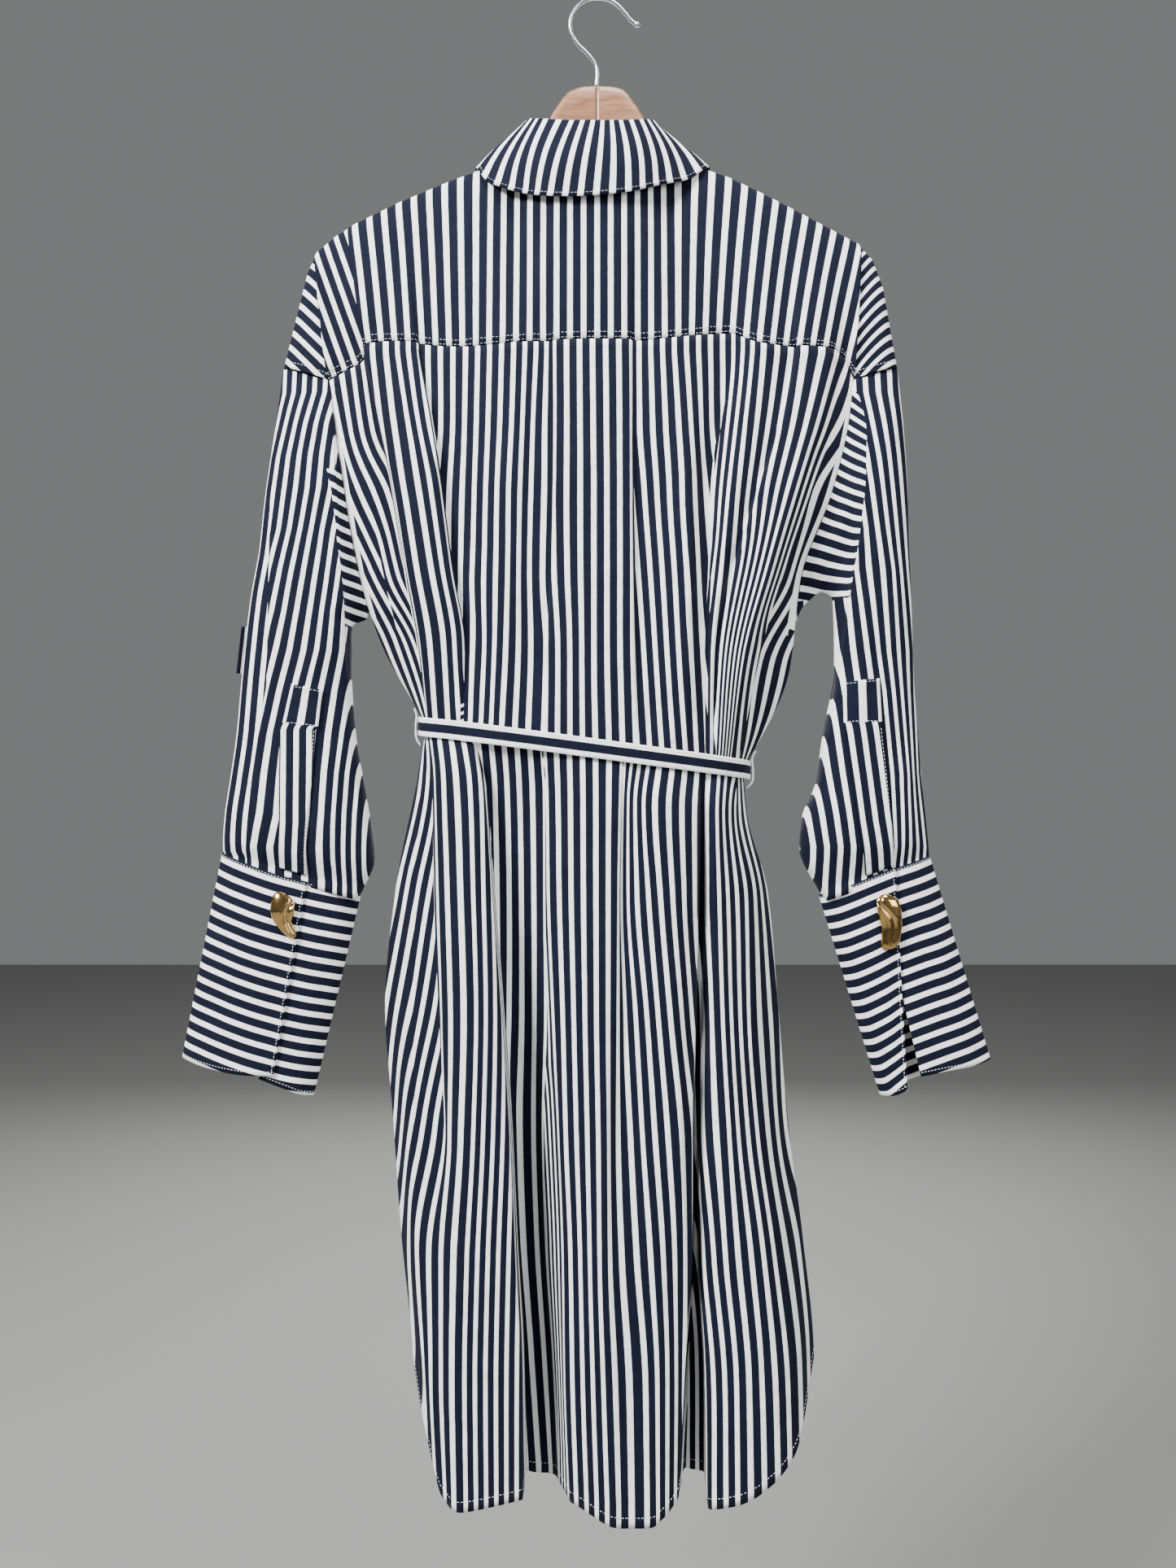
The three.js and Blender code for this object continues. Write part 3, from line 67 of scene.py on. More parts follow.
def smooth(at, values, x, own=False):
    """Values at x of a curve through a table that never overshoots it.

    The slope at each entry is the weighted harmonic mean of its neighbours' slopes, and none where the run turns.
    With own, each x reads its own column of the table.
    """
    at, values, x = (np.asarray(a, float) for a in (at, values, x))
    gap = np.diff(at).reshape((-1,) + (1,) * (values.ndim - 1))
    step = np.diff(values, axis=0) / gap
    slope = np.zeros_like(values)
    slope[0], slope[-1] = step[0], step[-1]
    turns = step[:-1] * step[1:] <= 0
    before, after = np.where(turns, 1.0, step[:-1]), np.where(turns, 1.0, step[1:])
    heavy, light = 2 * gap[1:] + gap[:-1], gap[1:] + 2 * gap[:-1]
    slope[1:-1] = np.where(turns, 0, (heavy + light) / (heavy / before + light / after))
    i = np.clip(np.searchsorted(at, x, side="right") - 1, 0, len(at) - 2)
    span = np.diff(at)[i]
    t = np.clip((x - at[i]) / span, 0, 1)
    if own:
        pick = (np.arange(len(x)),)
    else:
        pick = ()
        wide = (-1,) + (1,) * (values.ndim - 1)
        span, t = (span.reshape(wide), t.reshape(wide)) if values.ndim > 1 else (span, t)
    low, high, out, into = (table[(j,) + pick] for table, j in
                            ((values, i), (values, i + 1), (slope, i), (slope, i + 1)))
    return ((1 + 2 * t) * (1 - t) ** 2 * low + t * (1 - t) ** 2 * span * out
            + t * t * (3 - 2 * t) * high + t * t * (t - 1) * span * into)


def shape(name, grid, uv=None, face=1, around=False, along=False, caps=False):
    """Object whose faces join each four neighbours of grid[row][column].

    around closes the columns, along closes the rows, and caps closes both ends of a bar with flat faces.
    A closed body is turned outwards by the sign of its volume, and an open one by face.
    """
    rows, columns = grid.shape[:2]
    r = np.arange(rows if along else rows - 1)[:, None]
    c = np.arange(columns if around else columns - 1)[None]
    corner = [(r + down) % rows * columns + (c + over) % columns for down, over in ((0, 0), (0, 1), (1, 1), (1, 0))]
    quads = np.stack(corner, -1).reshape(-1, 4)
    points = grid.reshape(-1, 3)
    if caps or (along and around):
        a, b, c, d = (points[quads[:, k]] for k in range(4))
        face = 1 if (np.cross(a, b) * c).sum() + (np.cross(a, c) * d).sum() > 0 else -1
    faces = quads[:, ::face].tolist()
    if caps:
        start = list(range(columns))[::-face]
        end = [(rows - 1) * columns + k for k in range(columns)][::face]
        faces += [start, end]
    mesh = bpy.data.meshes.new(name)
    mesh.from_pydata((points * 0.001).tolist(), [], faces)
    mesh.polygons.foreach_set("use_smooth", [True] * len(faces))
    if uv is not None:
        flat = uv.reshape(-1, 4, 2)[:, ::face].reshape(-1)
        flat = np.concatenate([flat, np.zeros(2 * len(mesh.loops) - len(flat))])
        mesh.uv_layers.new(name="stripe").data.foreach_set("uv", flat)
    mesh.update()
    made = bpy.data.objects.new(name, mesh)
    bpy.context.collection.objects.link(made)
    return made


def fasten(made, slot, finish, *nodes):
    """Give a piece its finish, let it ride on the one body and stand for its CAD nodes. The slot is not used."""
    made.data.materials.clear()
    made.data.materials.append(finish)
    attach(made, "root")
    if nodes:
        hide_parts(*nodes)
    return made


class Socket:
    """An output of a node in a material. Arithmetic adds Math nodes, and node() adds any other."""

    def __init__(self, tree, out=None):
        self.tree, self.out = tree, out

    def node(self, kind, settings=(), out=0, **values):
        """Node of a kind with its settings first, then its sockets by name, or by place as at3=value."""
        made = self.tree.nodes.new("ShaderNode" + kind)
        for key, value in dict(settings).items():
            if key == "stops":
                for k, (place, colour) in enumerate(value):
                    ramp = made.color_ramp.elements
                    stop = ramp[k] if k < 2 else ramp.new(place)
                    stop.position, stop.color = place, (*colour, 1)
            else:
                setattr(made, key, value)
        for key, value in values.items():
            socket = made.inputs[int(key[2:])] if key[:2] == "at" else made.inputs[key.replace("_", " ")]
            if isinstance(value, Socket):
                self.tree.links.new(value.out, socket)
            else:
                socket.default_value = value
        return Socket(self.tree, made.outputs[out])

    def maths(self, operation, *values):
        values = {"at%d" % k: value for k, value in enumerate(values)}
        return self.node("Math", {"operation": operation}, **values)

    def clamp(self):
        return self.node("Clamp", Value=self)

    def mix(self, low, high):
        """Colour between two, by this socket."""
        return self.node("Mix", {"data_type": "RGBA"}, out=2, at0=self, at6=low, at7=high)

    def __add__(self, other):
        return self.maths("ADD", self, other)

    def __sub__(self, other):
        return self.maths("SUBTRACT", self, other)

    def __rsub__(self, other):
        return self.maths("SUBTRACT", other, self)

    def __mul__(self, other):
        return self.maths("MULTIPLY", self, other)

    def __truediv__(self, other):
        return self.maths("DIVIDE", self, other)

    __radd__, __rmul__ = __add__, __mul__


def finish(name, **constant):
    """New material: its surface node's constant sockets, a Socket to start from and a way to link varying ones."""
    material = bpy.data.materials.new(name)
    material.use_nodes = True
    surface = material.node_tree.nodes["Principled BSDF"]
    for key, value in constant.items():
        surface.inputs[key.replace("_", " ")].default_value = value

    def put(**varying):
        for key, socket in varying.items():
            material.node_tree.links.new(socket.out, surface.inputs[key.replace("_", " ")])

    start = Socket(material.node_tree)
    return material, start, put


def varnished_wood():
    """Grain: rings of noise stretched along X, with finer dark pores on them."""
    material, start, put = finish("varnished wood", Coat_Weight=0.25, Coat_Roughness=0.25)
    place = start.node("TexCoord", out=3)
    stretched = start.node("Mapping", Vector=place, Scale=(9, 60, 60))
    grain = start.node("TexNoise", Vector=stretched, Scale=3.0, Detail=5.0, Roughness=0.6, Distortion=0.6)
    fine = start.node("Mapping", Vector=place, Scale=(30, 420, 420))
    pores = start.node("TexNoise", Vector=fine, Scale=4.0, Detail=2.0, Roughness=0.5)
    light, middle, dark = (0.27, 0.125, 0.058), (0.185, 0.077, 0.034), (0.11, 0.042, 0.018)
    colour = (grain * 0.75 + pores * 0.3).node(
        "ValToRGB", {"stops": [(0.34, dark), (0.66, light), (0.5, middle)]}, Fac=grain * 0.75 + pores * 0.3)
    bump = start.node("Bump", Height=pores, Strength=0.25, Distance=0.0004)
    put(Base_Color=colour, Roughness=grain * 0.2 + 0.3, Normal=bump)
    return material


wood = varnished_wood()
for side, sign in (("left", -1), ("right", 1)):
    top = np.array(ARM_TOPS[side], float)
    low = np.array(ARM_BOTTOM, float)
    out = np.concatenate([np.linspace(0.15, top[-1, 0] - 6, 90), top[-1, 0] - np.array([4, 2.4, 1.2, 0.4, 0])])
    high_z, low_z = smooth(top[:, 0], top[:, 1], out), smooth(low[:, 0], low[:, 1], out)
    turn = np.linspace(0, 2 * np.pi, 32, endpoint=False)
    squarish = [np.sign(f(turn)) * np.abs(f(turn)) ** 0.45 for f in (np.cos, np.sin)]
    to_tip = np.clip((top[-1, 0] - out) / 5, 0, 1)
    rounding = np.sqrt(1 - (1 - to_tip) ** 2) * 0.75 + 0.25
    half = ARM_HALF * rounding[:, None]
    middle_z, tall = (high_z + low_z)[:, None] / 2, (high_z - low_z)[:, None] / 2 * rounding[:, None]
    grid = np.stack([np.broadcast_to(sign * out[:, None], (len(out), 32)), half * squarish[0],
                     middle_z + tall * squarish[1]], -1)
    fasten(shape("hanger_arm_" + side, grid, around=True, caps=True), "hanger_wood", wood, "hanger_" + side)

# Hook of the hanger
# Polished steel wire three millimetres thick, bent to a hook that ends in a small ball.
HOOK = [(0, -70.8), (0, -54), (-6, -45), (-14.8, -36), (-20.4, -26), (-21, -15.5), (-16.5, -5.8), (-8, 0.2),
        (0.5, 1.5), (9.5, 0.2), (17.6, -4.6), (24, -11.5), (29.2, -17.6), (35, -21)]
WIRE = 1.5


def centripetal(points, t, closed=False):
    """Smooth run through points, at t from 0 to 1.

    Each stretch is a cubic whose slopes come from the points before and after it, weighted by the square root of
    the distances between them. An open run is lengthened past each end by its last step.
    """
    points = np.asarray(points, float)
    count = len(points) if closed else len(points) - 1
    place = np.clip(np.asarray(t, float) * count, 0, count - 1e-9)
    i = place.astype(int)
    if closed:
        around = np.concatenate([points[-1:], points, points[:2]])
    else:
        around = np.concatenate([2 * points[:1] - points[1:2], points, 2 * points[-1:] - points[-2:-1]])
    f = (place - i).reshape((-1,) + (1,) * (points.ndim - 1))
    before, here, there, after = (around[i + k] for k in range(4))
    a, b, c = (np.maximum(((q - p) ** 2).sum(-1, keepdims=True) ** 0.25, 1e-4)
               for p, q in ((before, here), (here, there), (there, after)))
    out = ((here - before) / a - (there - before) / (a + b) + (there - here) / b) * b
    into = ((there - here) / b - (after - here) / (b + c) + (after - there) / c) * b
    return (here + f * out + f ** 2 * (3 * (there - here) - 2 * out - into)
            + f ** 3 * (2 * (here - there) + out + into))


def unit(vectors):
    return vectors / np.linalg.norm(vectors, axis=-1, keepdims=True)


def upright_tube(run, radius, sides):
    """Rings of points round a run that lies in the XZ plane."""
    way = unit(np.gradient(run, axis=0))
    over = np.cross(way, (0, 1, 0))
    turn = np.linspace(0, 2 * np.pi, sides, endpoint=False)
    ring = np.cos(turn)[None, :, None] * np.array([0, 1, 0]) + np.sin(turn)[None, :, None] * over[:, None]
    return run[:, None] + radius[:, None, None] * ring


hook_run = centripetal([(x, 0, z) for x, z in HOOK], np.concatenate([np.linspace(0, 0.965, 110), np.linspace(0.967, 1, 14)]))
past = np.linalg.norm(np.diff(hook_run, axis=0), axis=1)
to_end = past.sum() - np.concatenate([[0], np.cumsum(past)])
ball = np.sqrt(np.clip(2.2 ** 2 - (to_end - 2.2) ** 2, 0.01, None))
hook_radius = np.where(to_end < 4.4, np.where(to_end > 2.2, np.maximum(ball, WIRE), ball), WIRE)
polished, start, put = finish("polished wire", Base_Color=(0.55, 0.56, 0.58, 1), Metallic=1.0)
marks = start.node("TexNoise", Vector=start.node("TexCoord", out=3), Scale=60.0, Detail=2.0)
put(Roughness=marks * 0.08 + 0.2)
fasten(shape("hook_wire", upright_tube(hook_run, hook_radius, 16), around=True, caps=True), "hook_wire", polished,
       "hanger_hook")

# Back panel
# Cut in one from the yoke seam to the shirt-tail hem, in crisp cotton poplin woven in navy and white stripes.
# A box pleat lies under the middle of the yoke, and the tied belt gathers the cloth at the waist.
BELT_HEIGHT = -607
WAIST = (-138.5, 118.8)
WAIST_TILT = 0.138
SEAM = 0.3
STRIPE = 11.0
UPPER_HEIGHTS = np.array([-295, -353, -404, -468, -532, -607])
LOWER_HEIGHTS = np.array([-607, -646, -722, -815, -908, -1001, -1094, -1187])
# A fold's place across, its top or hem, then x, y and the number of its stripe at the heights above
UPPER_FOLDS = [
    ("left_edge", 0.0000, -312, [-216.4, -209.3, -201.5, -191.6, -174.2, -138.5],
     [-10, -13, -13, -6, -0.3, -0.3], [-23.3, -24, -24.7, -26.8, -28, -27]),
    ("left_recess", 0.0175, -305, [-200.6, -191.7, -181.3, -170, -156.7, -136.2],
     [-14, -20, -24, -22, -16, -15.1], [-22, -22, -22.9, -24.5, -26.1, -26.3]),
    ("fold1_foot", 0.0326, -297, [-186.6, -173.9, -163, -152.5, -142.6, -134.6],
     [-16, -22, -26, -27, -24, -20.2], [-20.3, -19.95, -21.2, -21.7, -24, -25.7]),
    ("fold1_edge", 0.0426, -286.5, [-183.8, -169.7, -158.8, -148.3, -138.4, -133.2],
     [-21, -32, -37, -39, -37, -22.9], [-20.1, -19.5, -19.25, -19.25, -19.25, -19.2]),
    ("fold1_ridge", 0.1053, -286, [-164.1, -148.4, -138.1, -127.7, -118.6, -116.8],
     [-27, -38, -44, -46, -43, -34], [-18.25, -17.6, -17.45, -17.4, -17.45, -17.55]),
    ("fold2_edge", 0.1429, -287, [-142.6, -130, -122.5, -114.1, -105.4, -106.9],
     [-29, -38, -42, -44, -42, -38.3], [-15.8, -15.3, -15.7, -15.7, -15.8, -16.5]),
    ("fold2_foot", 0.1529, -287.5, [-140.6, -128.4, -121, -112.5, -103.5, -104.2],
     [-25, -30, -33, -35, -36, -39.2], [-15.2, -14.1, -13, -12.1, -11.1, -11.1]),
    ("left_soft", 0.2206, -290.5, [-101.6, -101.2, -100.9, -100.7, -91, -86.4],
     [-28, -33, -36, -38, -40, -44.2], [-11.3, -11.2, -11.05, -10.85, -9.9, -9]),
    ("soft_ridge", 0.2607, -288, [-63.5, -65.7, -68.7, -71.1, -74.1, -75.8],
     [-32, -38, -42, -44, -46, -46.2], [-7.3, -7.4, -7.5, -7.7, -7.85, -7.65]),
    ("pleat_near", 0.3534, -287.5, [-45.6, -46.8, -49.2, -50.4, -49, -51.4],
     [-31, -35, -38, -40, -42, -49], [-5.25, -5.1, -5.25, -5.25, -5.25, -5.3]),
    ("pleat_lfoot", 0.3835, -287.5, [-36, -35.3, -35.8, -37.7, -40.2, -43.5],
     [-31, -35, -38, -40, -42, -49.4], [-4.05, -3.95, -4, -4.05, -4.6, -4.7]),
    ("pleat_ledge", 0.3960, -287.5, [-33.4, -32.6, -33.1, -34.4, -36.8, -40.2],
     [-35, -40, -44, -46, -47, -49.6], [-3.45, -3.4, -3.4, -3.6, -4.2, -4.5]),
    ("pleat_mid", 0.5288, -287, [-3.4, -3.4, -3.4, -3.4, -3.4, -5.3],
     [-36, -42, -46, -48, -49, -50], [-0.5, -0.55, -0.6, -0.6, -0.6, -0.9]),
    ("pleat_redge", 0.6642, -287, [26, 25.8, 26.3, 26.9, 28.1, 30.4],
     [-35, -40, -44, -46, -47, -48.6], [2.35, 2.3, 2.35, 2.4, 2.5, 2.5]),
    ("pleat_rfoot", 0.6792, -287, [28.6, 28.5, 29, 30.2, 32.1, 34.3],
     [-31, -35, -38, -40, -42, -48.2], [4, 4, 3.7, 3.3, 3, 2.75]),
    ("right_soft", 0.8170, -284, [65.1, 68.5, 70.7, 70.5, 69.1, 70.6],
     [-32, -38, -42, -45, -46, -41.7], [7.95, 7.95, 7.95, 7.6, 7.1, 6.6]),
    ("valley_left", 0.8722, -279, [105.6, 95.7, 89.7, 87.5, 84.6, 85.1],
     [-24, -27, -29, -32, -35, -36.7], [12.1, 11, 9.8, 9.2, 8.55, 8.3]),
    ("valley_right", 0.8784, -279, [108.2, 98.2, 92.2, 90, 87.2, 86.8],
     [-24, -27, -29, -32, -35, -36], [12.5, 11.4, 11.1, 12.25, 13, 13.1]),
    ("fan_ridge", 0.8860, -288, [129.3, 117.7, 107.1, 97.3, 89.8, 88.8],
     [-30, -36, -40, -42, -41, -35.1], [15.3, 14.7, 14.1, 13.6, 13.4, 13.3]),
    ("fold3_foot", 0.8935, -290, [155.8, 142.3, 124.5, 105.6, 93.4, 90.7],
     [-25, -29, -33, -36, -37, -34.1], [17.7, 17.3, 16.2, 14.5, 13.9, 13.8]),
    ("fold3_edge", 0.9023, -290, [159.6, 145.9, 128.6, 109.2, 96.7, 93.1],
     [-29, -35, -40, -43, -42, -33], [18.2, 17.75, 17, 15, 14.6, 14.6]),
    ("fold4_ridge", 0.9499, -290, [185, 169.2, 153.4, 133.9, 115.3, 105.6],
     [-24, -33, -40, -43, -40, -24.7], [20, 20, 20, 20, 20, 19.8]),
    ("fold4_foot", 0.9724, -294, [197, 186.8, 171.2, 147.1, 128.2, 111.5],
     [-15, -21, -25, -27, -24, -18.7], [21, 22.2, 23.3, 22.6, 24.4, 23.5]),
    ("right_edge", 1.0000, -311, [208.5, 200.7, 187.7, 164.9, 157.1, 118.8],
     [-10, -13, -13, -5, -0.3, -0.3], [22.3, 23.2, 24.5, 24.6, 27.05, 26]),
]
LOWER_FOLDS = [
    ("left_edge", 0.0000, -1100, [-138.5, -145.3, -162.5, -171.5, -164.9, -158.3, -148.9, -145],
     [-0.3, -0.3, -0.3, -0.3, -0.3, -0.3, -2, -6], [-29, -29.3, -28.7, -27.6, -25.7, -23.3, -22.5, -21.5]),
    ("left_side", 0.0175, -1152, [-136.2, -139.5, -143.8, -145.1, -142.6, -141.1, -136.6, -129.7],
     [-15.1, -20, -25, -30, -34, -36, -36, -35], [-28.5, -28.4, -26.8, -25.3, -23.1, -21.5, -21.7, -20.9]),
    ("flute1_foot", 0.0326, -1180, [-134.6, -129.9, -127.9, -123.3, -118.3, -127.7, -127.7, -123.6],
     [-20.2, -28, -34, -41, -46, -46, -46, -44], [-27.2, -26.9, -25.05, -23, -20.6, -20.2, -20.3, -20.2]),
    ("flute1_left", 0.0426, -1188, [-133.2, -126.3, -124.3, -119.9, -116, -124.2, -124.4, -120.8],
     [-22.9, -37, -43, -48, -50, -49, -48, -46], [-20.5, -20.3, -20.45, -20.3, -19.8, -19.9, -19.95, -19.95]),
    ("flute1_ridge", 0.1053, -1194, [-116.8, -102.6, -99, -96.1, -98.5, -103.5, -105.4, -104.4],
     [-34, -52, -57, -61, -62, -62, -61, -59], [-18.6, -18, -18, -18, -18, -18, -18, -18]),
    ("flute1_right", 0.1729, -1185, [-98.9, -89, -81.2, -73.5, -67.1, -62.7, -57.7, -57.1],
     [-40.9, -49, -52, -55, -57, -58, -58, -57], [-16.9, -16.4, -15.6, -14.7, -13.7, -12.8, -12, -11.9]),
    ("recess1_left", 0.1830, -1189, [-96.3, -86.7, -80.2, -72.9, -66.9, -62.7, -57.7, -56.4],
     [-41.7, -38, -32, -25, -18, -12, -8, -6], [-13.8, -13.2, -12.7, -11.9, -11.1, -11, -11.1, -11.5]),
    ("recess1_mid", 0.3158, -1192, [-61.3, -55.6, -54.7, -54.4, -55.5, -53.1, -47.3, -41.4],
     [-48.1, -38, -30, -21, -13, -8, -6, -5], [-10.4, -10, -10, -10, -10, -10, -10, -10]),
    ("recess1_right", 0.3534, -1190, [-51.4, -45.3, -44.9, -45.2, -46.1, -43.7, -37.9, -33.3],
     [-49, -41, -35, -27, -19, -13, -11, -12], [-9.4, -9, -9, -9, -9, -9, -9, -9]),
    ("lobe_wall", 0.3835, -1189, [-43.5, -40.1, -40.2, -39.1, -41.9, -39.5, -33.7, -29.1],
     [-49.4, -44, -41, -35, -29, -24, -23, -26], [-8.6, -8.5, -8.5, -8.5, -8.5, -8.5, -8.5, -8.5]),
    ("lobe_wall2", 0.3885, -1188, [-42.2, -39.1, -38.1, -34.3, -29.8, -26.6, -25.4, -22.3],
     [-49.5, -46, -47, -49, -52, -53, -51, -48], [-4.6, -4.5, -4.5, -4.5, -4.5, -4.5, -4.5, -4.5]),
    ("lobe_left", 0.4060, -1188, [-37.6, -34.9, -33.6, -30.4, -27.8, -24, -22.8, -19.7],
     [-49.7, -49, -51, -54, -58, -60, -59, -56], [-4.1, -4, -4, -4, -4, -4, -4, -4]),
    ("lobe_ridge", 0.5288, -1203, [-5.3, 4, 4, 4, 5.2, 5.8, 8.9, 12],
     [-50, -56, -60, -62, -63, -64, -64, -63], [-0.9, 0, 0, 0, 0, 0, 0, 0]),
    ("crease_left", 0.6216, -1205, [19.2, 17.8, 16.5, 15.9, 15.3, 17.7, 23.2, 25.1],
     [-49.4, -56, -58, -58, -57, -60, -62, -61], [1.4, 1.4, 1.4, 1.4, 1.4, 1.4, 1.4, 1.4]),
    ("crease_right", 0.6291, -1205, [21.1, 19.4, 18.2, 20.4, 24.7, 29.5, 36.3, 37.5],
     [-49.3, -53, -53, -53, -54, -59, -61, -61], [2.4, 2.4, 2.4, 2.4, 2.4, 2.4, 2.4, 2.4]),
    ("lobe_soft", 0.6642, -1199, [30.4, 26, 26.5, 33.9, 39.5, 46.2, 50, 50.1],
     [-48.6, -54, -56, -58, -60, -61, -60, -59], [4, 4, 4, 4, 4, 4, 4, 4]),
    ("lobe_right", 0.7168, -1186, [44.2, 39.1, 43.9, 51.3, 59.4, 63.9, 64.2, 63.1],
     [-47.1, -55, -58, -60, -60, -57, -53, -51], [6, 6, 6, 6, 6, 6, 6, 6]),
    ("lobe_end", 0.8546, -1181, [80.5, 78.5, 77.8, 75.8, 73.1, 72.4, 67.5, 63.9],
     [-38.5, -47, -48, -49, -52, -53, -51, -49], [9.7, 9.8, 9.75, 8.8, 7.3, 7.05, 6.5, 6]),
    ("recess2_left", 0.8622, -1188, [82.5, 81.2, 81.1, 79.8, 78.2, 78.5, 74.8, 72.2],
     [-37.7, -38, -32, -25, -16, -9, -6, -5], [10, 10, 10, 9.05, 8.5, 7.5, 5.6, 5]),
    ("recess2_right", 0.8722, -1191, [85.1, 83.1, 83.6, 82.2, 80, 80.9, 84.6, 86.6],
     [-36.7, -38, -32, -26, -18, -11, -7, -6], [10.2, 10.2, 10.2, 9.4, 8.8, 7.7, 7.1, 7.3]),
    ("flap_left", 0.8822, -1197, [87.8, 85.3, 85.5, 84.4, 81.2, 80.4, 84.4, 86.1],
     [-35.5, -42, -40, -38, -38, -40, -45, -47], [10.5, 10.5, 10.5, 9.7, 9.2, 7.9, 7.6, 7.8]),
    ("flap_ridge", 0.9023, -1189, [93.1, 90, 90.9, 93.3, 98.1, 103.5, 111.5, 112.7],
     [-33, -46, -49, -51, -53, -55, -56, -56], [11, 11, 11, 11, 11, 11, 11, 11]),
    ("flap_soft", 0.9499, -1177, [105.6, 101.3, 105.4, 107.6, 113, 123.9, 131.8, 134.4],
     [-24.7, -40, -43, -46, -49, -52, -54, -53], [13, 13, 13, 13, 13, 13, 13, 13]),
    ("flap_side", 0.9724, -1157, [111.5, 110.1, 120.5, 121.9, 128.5, 141.4, 152, 154.5],
     [-18.7, -30, -34, -38, -41, -44, -45, -45], [15, 15, 15, 15, 15, 15, 15, 15]),
    ("right_edge", 1.0000, -1100, [118.8, 122.1, 139.2, 147.2, 155.1, 167, 175.9, 177.2],
     [-0.3, -0.3, -0.3, -0.3, -0.3, -0.3, -2, -6], [17, 16.9, 17.5, 17.3, 17.8, 17, 17.2, 17.3]),
]
UPPER_AT, LOWER_AT = ([fold[1] for fold in folds] for folds in (UPPER_FOLDS, LOWER_FOLDS))
# Creases: both ends in x and z, how far they stand out (or in, below 0) and their half width
BACK_CREASES = [
    (-112, -560, -104, -604, 1.6, 3.0), (-92, -572, -88, -604, -1.4, 2.6), (-72, -548, -68, -605, 1.7, 3.4),
    (-58, -575, -55, -606, -1.3, 2.4), (-34, -566, -30, -608, 1.5, 3.0), (-18, -580, -16, -610, -1.2, 2.4),
    (8, -570, 10, -612, 1.5, 3.0), (42, -560, 40, -616, -1.5, 3.0), (58, -585, 57, -618, 1.4, 2.6),
    (74, -566, 73, -622, -1.4, 2.8), (-120, -690, -108, -604, 1.8, 4.0), (-84, -676, -80, -606, -1.6, 3.4),
    (-62, -664, -63, -608, 1.6, 3.0), (-28, -690, -26, -610, -1.6, 3.6), (-8, -654, -10, -612, 1.4, 2.6),
    (14, -676, 12, -614, 1.7, 3.2), (34, -662, 32, -616, -1.5, 2.8), (52, -700, 48, -618, 1.8, 3.6),
    (70, -660, 68, -622, -1.4, 2.6), (96, -690, 92, -626, 1.5, 3.2), (-8, -330, 2, -470, 0.9, 5.0),
    (-150, -420, -96, -540, -1.3, 7.0), (-70, -350, -84, -520, 1.2, 7.0), (60, -330, 46, -500, -1.2, 8.0),
    (88, -300, 64, -420, 1.0, 6.0), (-120, -318, -128, -430, 1.1, 5.0), (12, -490, 22, -590, -1.1, 6.0),
    (-118, -980, -86, -1004, 1.3, 5.0), (-126, -1030, -92, -1048, -1.2, 4.5), (-104, -1068, -72, -1094, 1.4, 6.0),
    (-128, -1120, -88, -1140, -1.2, 5.0), (-20, -900, -14, -1060, -1.3, 8.0), (26, -760, 34, -900, 1.3, 8.0),
    (2, -1010, 18, -1150, 1.2, 7.0), (52, -940, 58, -1090, -1.3, 7.0), (120, -920, 134, -1050, 1.3, 8.0),
    (-130, -760, -136, -900, -1.4, 8.0), (-90, -820, -88, -960, 1.2, 6.0), (110, -760, 116, -880, -1.3, 6.5),
    (140, -1060, 120, -1120, -1.1, 6.0), (90, -1100, 96, -1170, 1.2, 5.0), (-60, -300, -50, -372, -0.9, 4.0),
]


def tilted(u, h):
    """Height h after the tilt of the waist: less by the tilt times the way from the middle, fading off it."""
    return h - WAIST_TILT * (u - 0.5) * (WAIST[1] - WAIST[0]) * np.exp(-((h - BELT_HEIGHT) / 90) ** 2)


def back_points(u, h):
    """Points of the back at place u across and height h.

    Each fold's x and y are read at that height, and then the run through the folds is read at that place.
    """
    u, h = np.broadcast_arrays(np.asarray(u, float), np.asarray(h, float))
    across, height = u.ravel(), h.ravel()
    points = np.empty((len(across), 3))
    for folds, heights, zone in ((UPPER_FOLDS, UPPER_HEIGHTS, height > BELT_HEIGHT),
                                 (LOWER_FOLDS, LOWER_HEIGHTS, height <= BELT_HEIGHT)):
        if not zone.any():
            continue
        for axis in (0, 1):
            table = np.array([fold[3 + axis] for fold in folds], float)
            by_fold = smooth(-heights, table.T, -height[zone])
            points[zone, axis] = smooth([fold[1] for fold in folds], by_fold.T, across[zone], own=True)
    points[:, 2] = tilted(across, height)
    return points.reshape(u.shape + (3,))


def spread(at, sample, reach):
    """Places across: all of at, and more between two of them so that no step on the sample rows is over reach."""
    steps = np.linalg.norm(np.diff(sample, axis=1), axis=2).max(0)
    runs = [np.linspace(a, b, max(1, math.ceil(s / reach)), endpoint=False) for a, b, s in zip(at, at[1:], steps)]
    return np.concatenate(runs + [at[-1:]])


def creased(points, table, side):
    """Points moved in y by soft troughs and ridges.

    Each falls off as a bell across its line and swells from nothing at both ends; side is -1 for the back.
    """
    moved = points.copy()
    x, z = points[..., 0], points[..., 2]
    for x0, z0, x1, z1, height, width in table:
        long = math.hypot(x1 - x0, z1 - z0)
        over, down = (x1 - x0) / long, (z1 - z0) / long
        along = ((x - x0) * over + (z - z0) * down) / long
        across = ((x - x0) * down - (z - z0) * over) / width
        swell = np.sin(np.pi * np.clip(along, 0, 1)) ** 0.8
        moved[..., 1] += side * height * swell * np.exp(-across ** 2)
    return moved


def corners(values):
    """Values of the four corners of each face of a grid."""
    return np.stack([values[:-1, :-1], values[:-1, 1:], values[1:, 1:], values[1:, :-1]], -1)


# Two folds nearer than this across the panel are the foot and the edge of one fold
WALL = 0.026


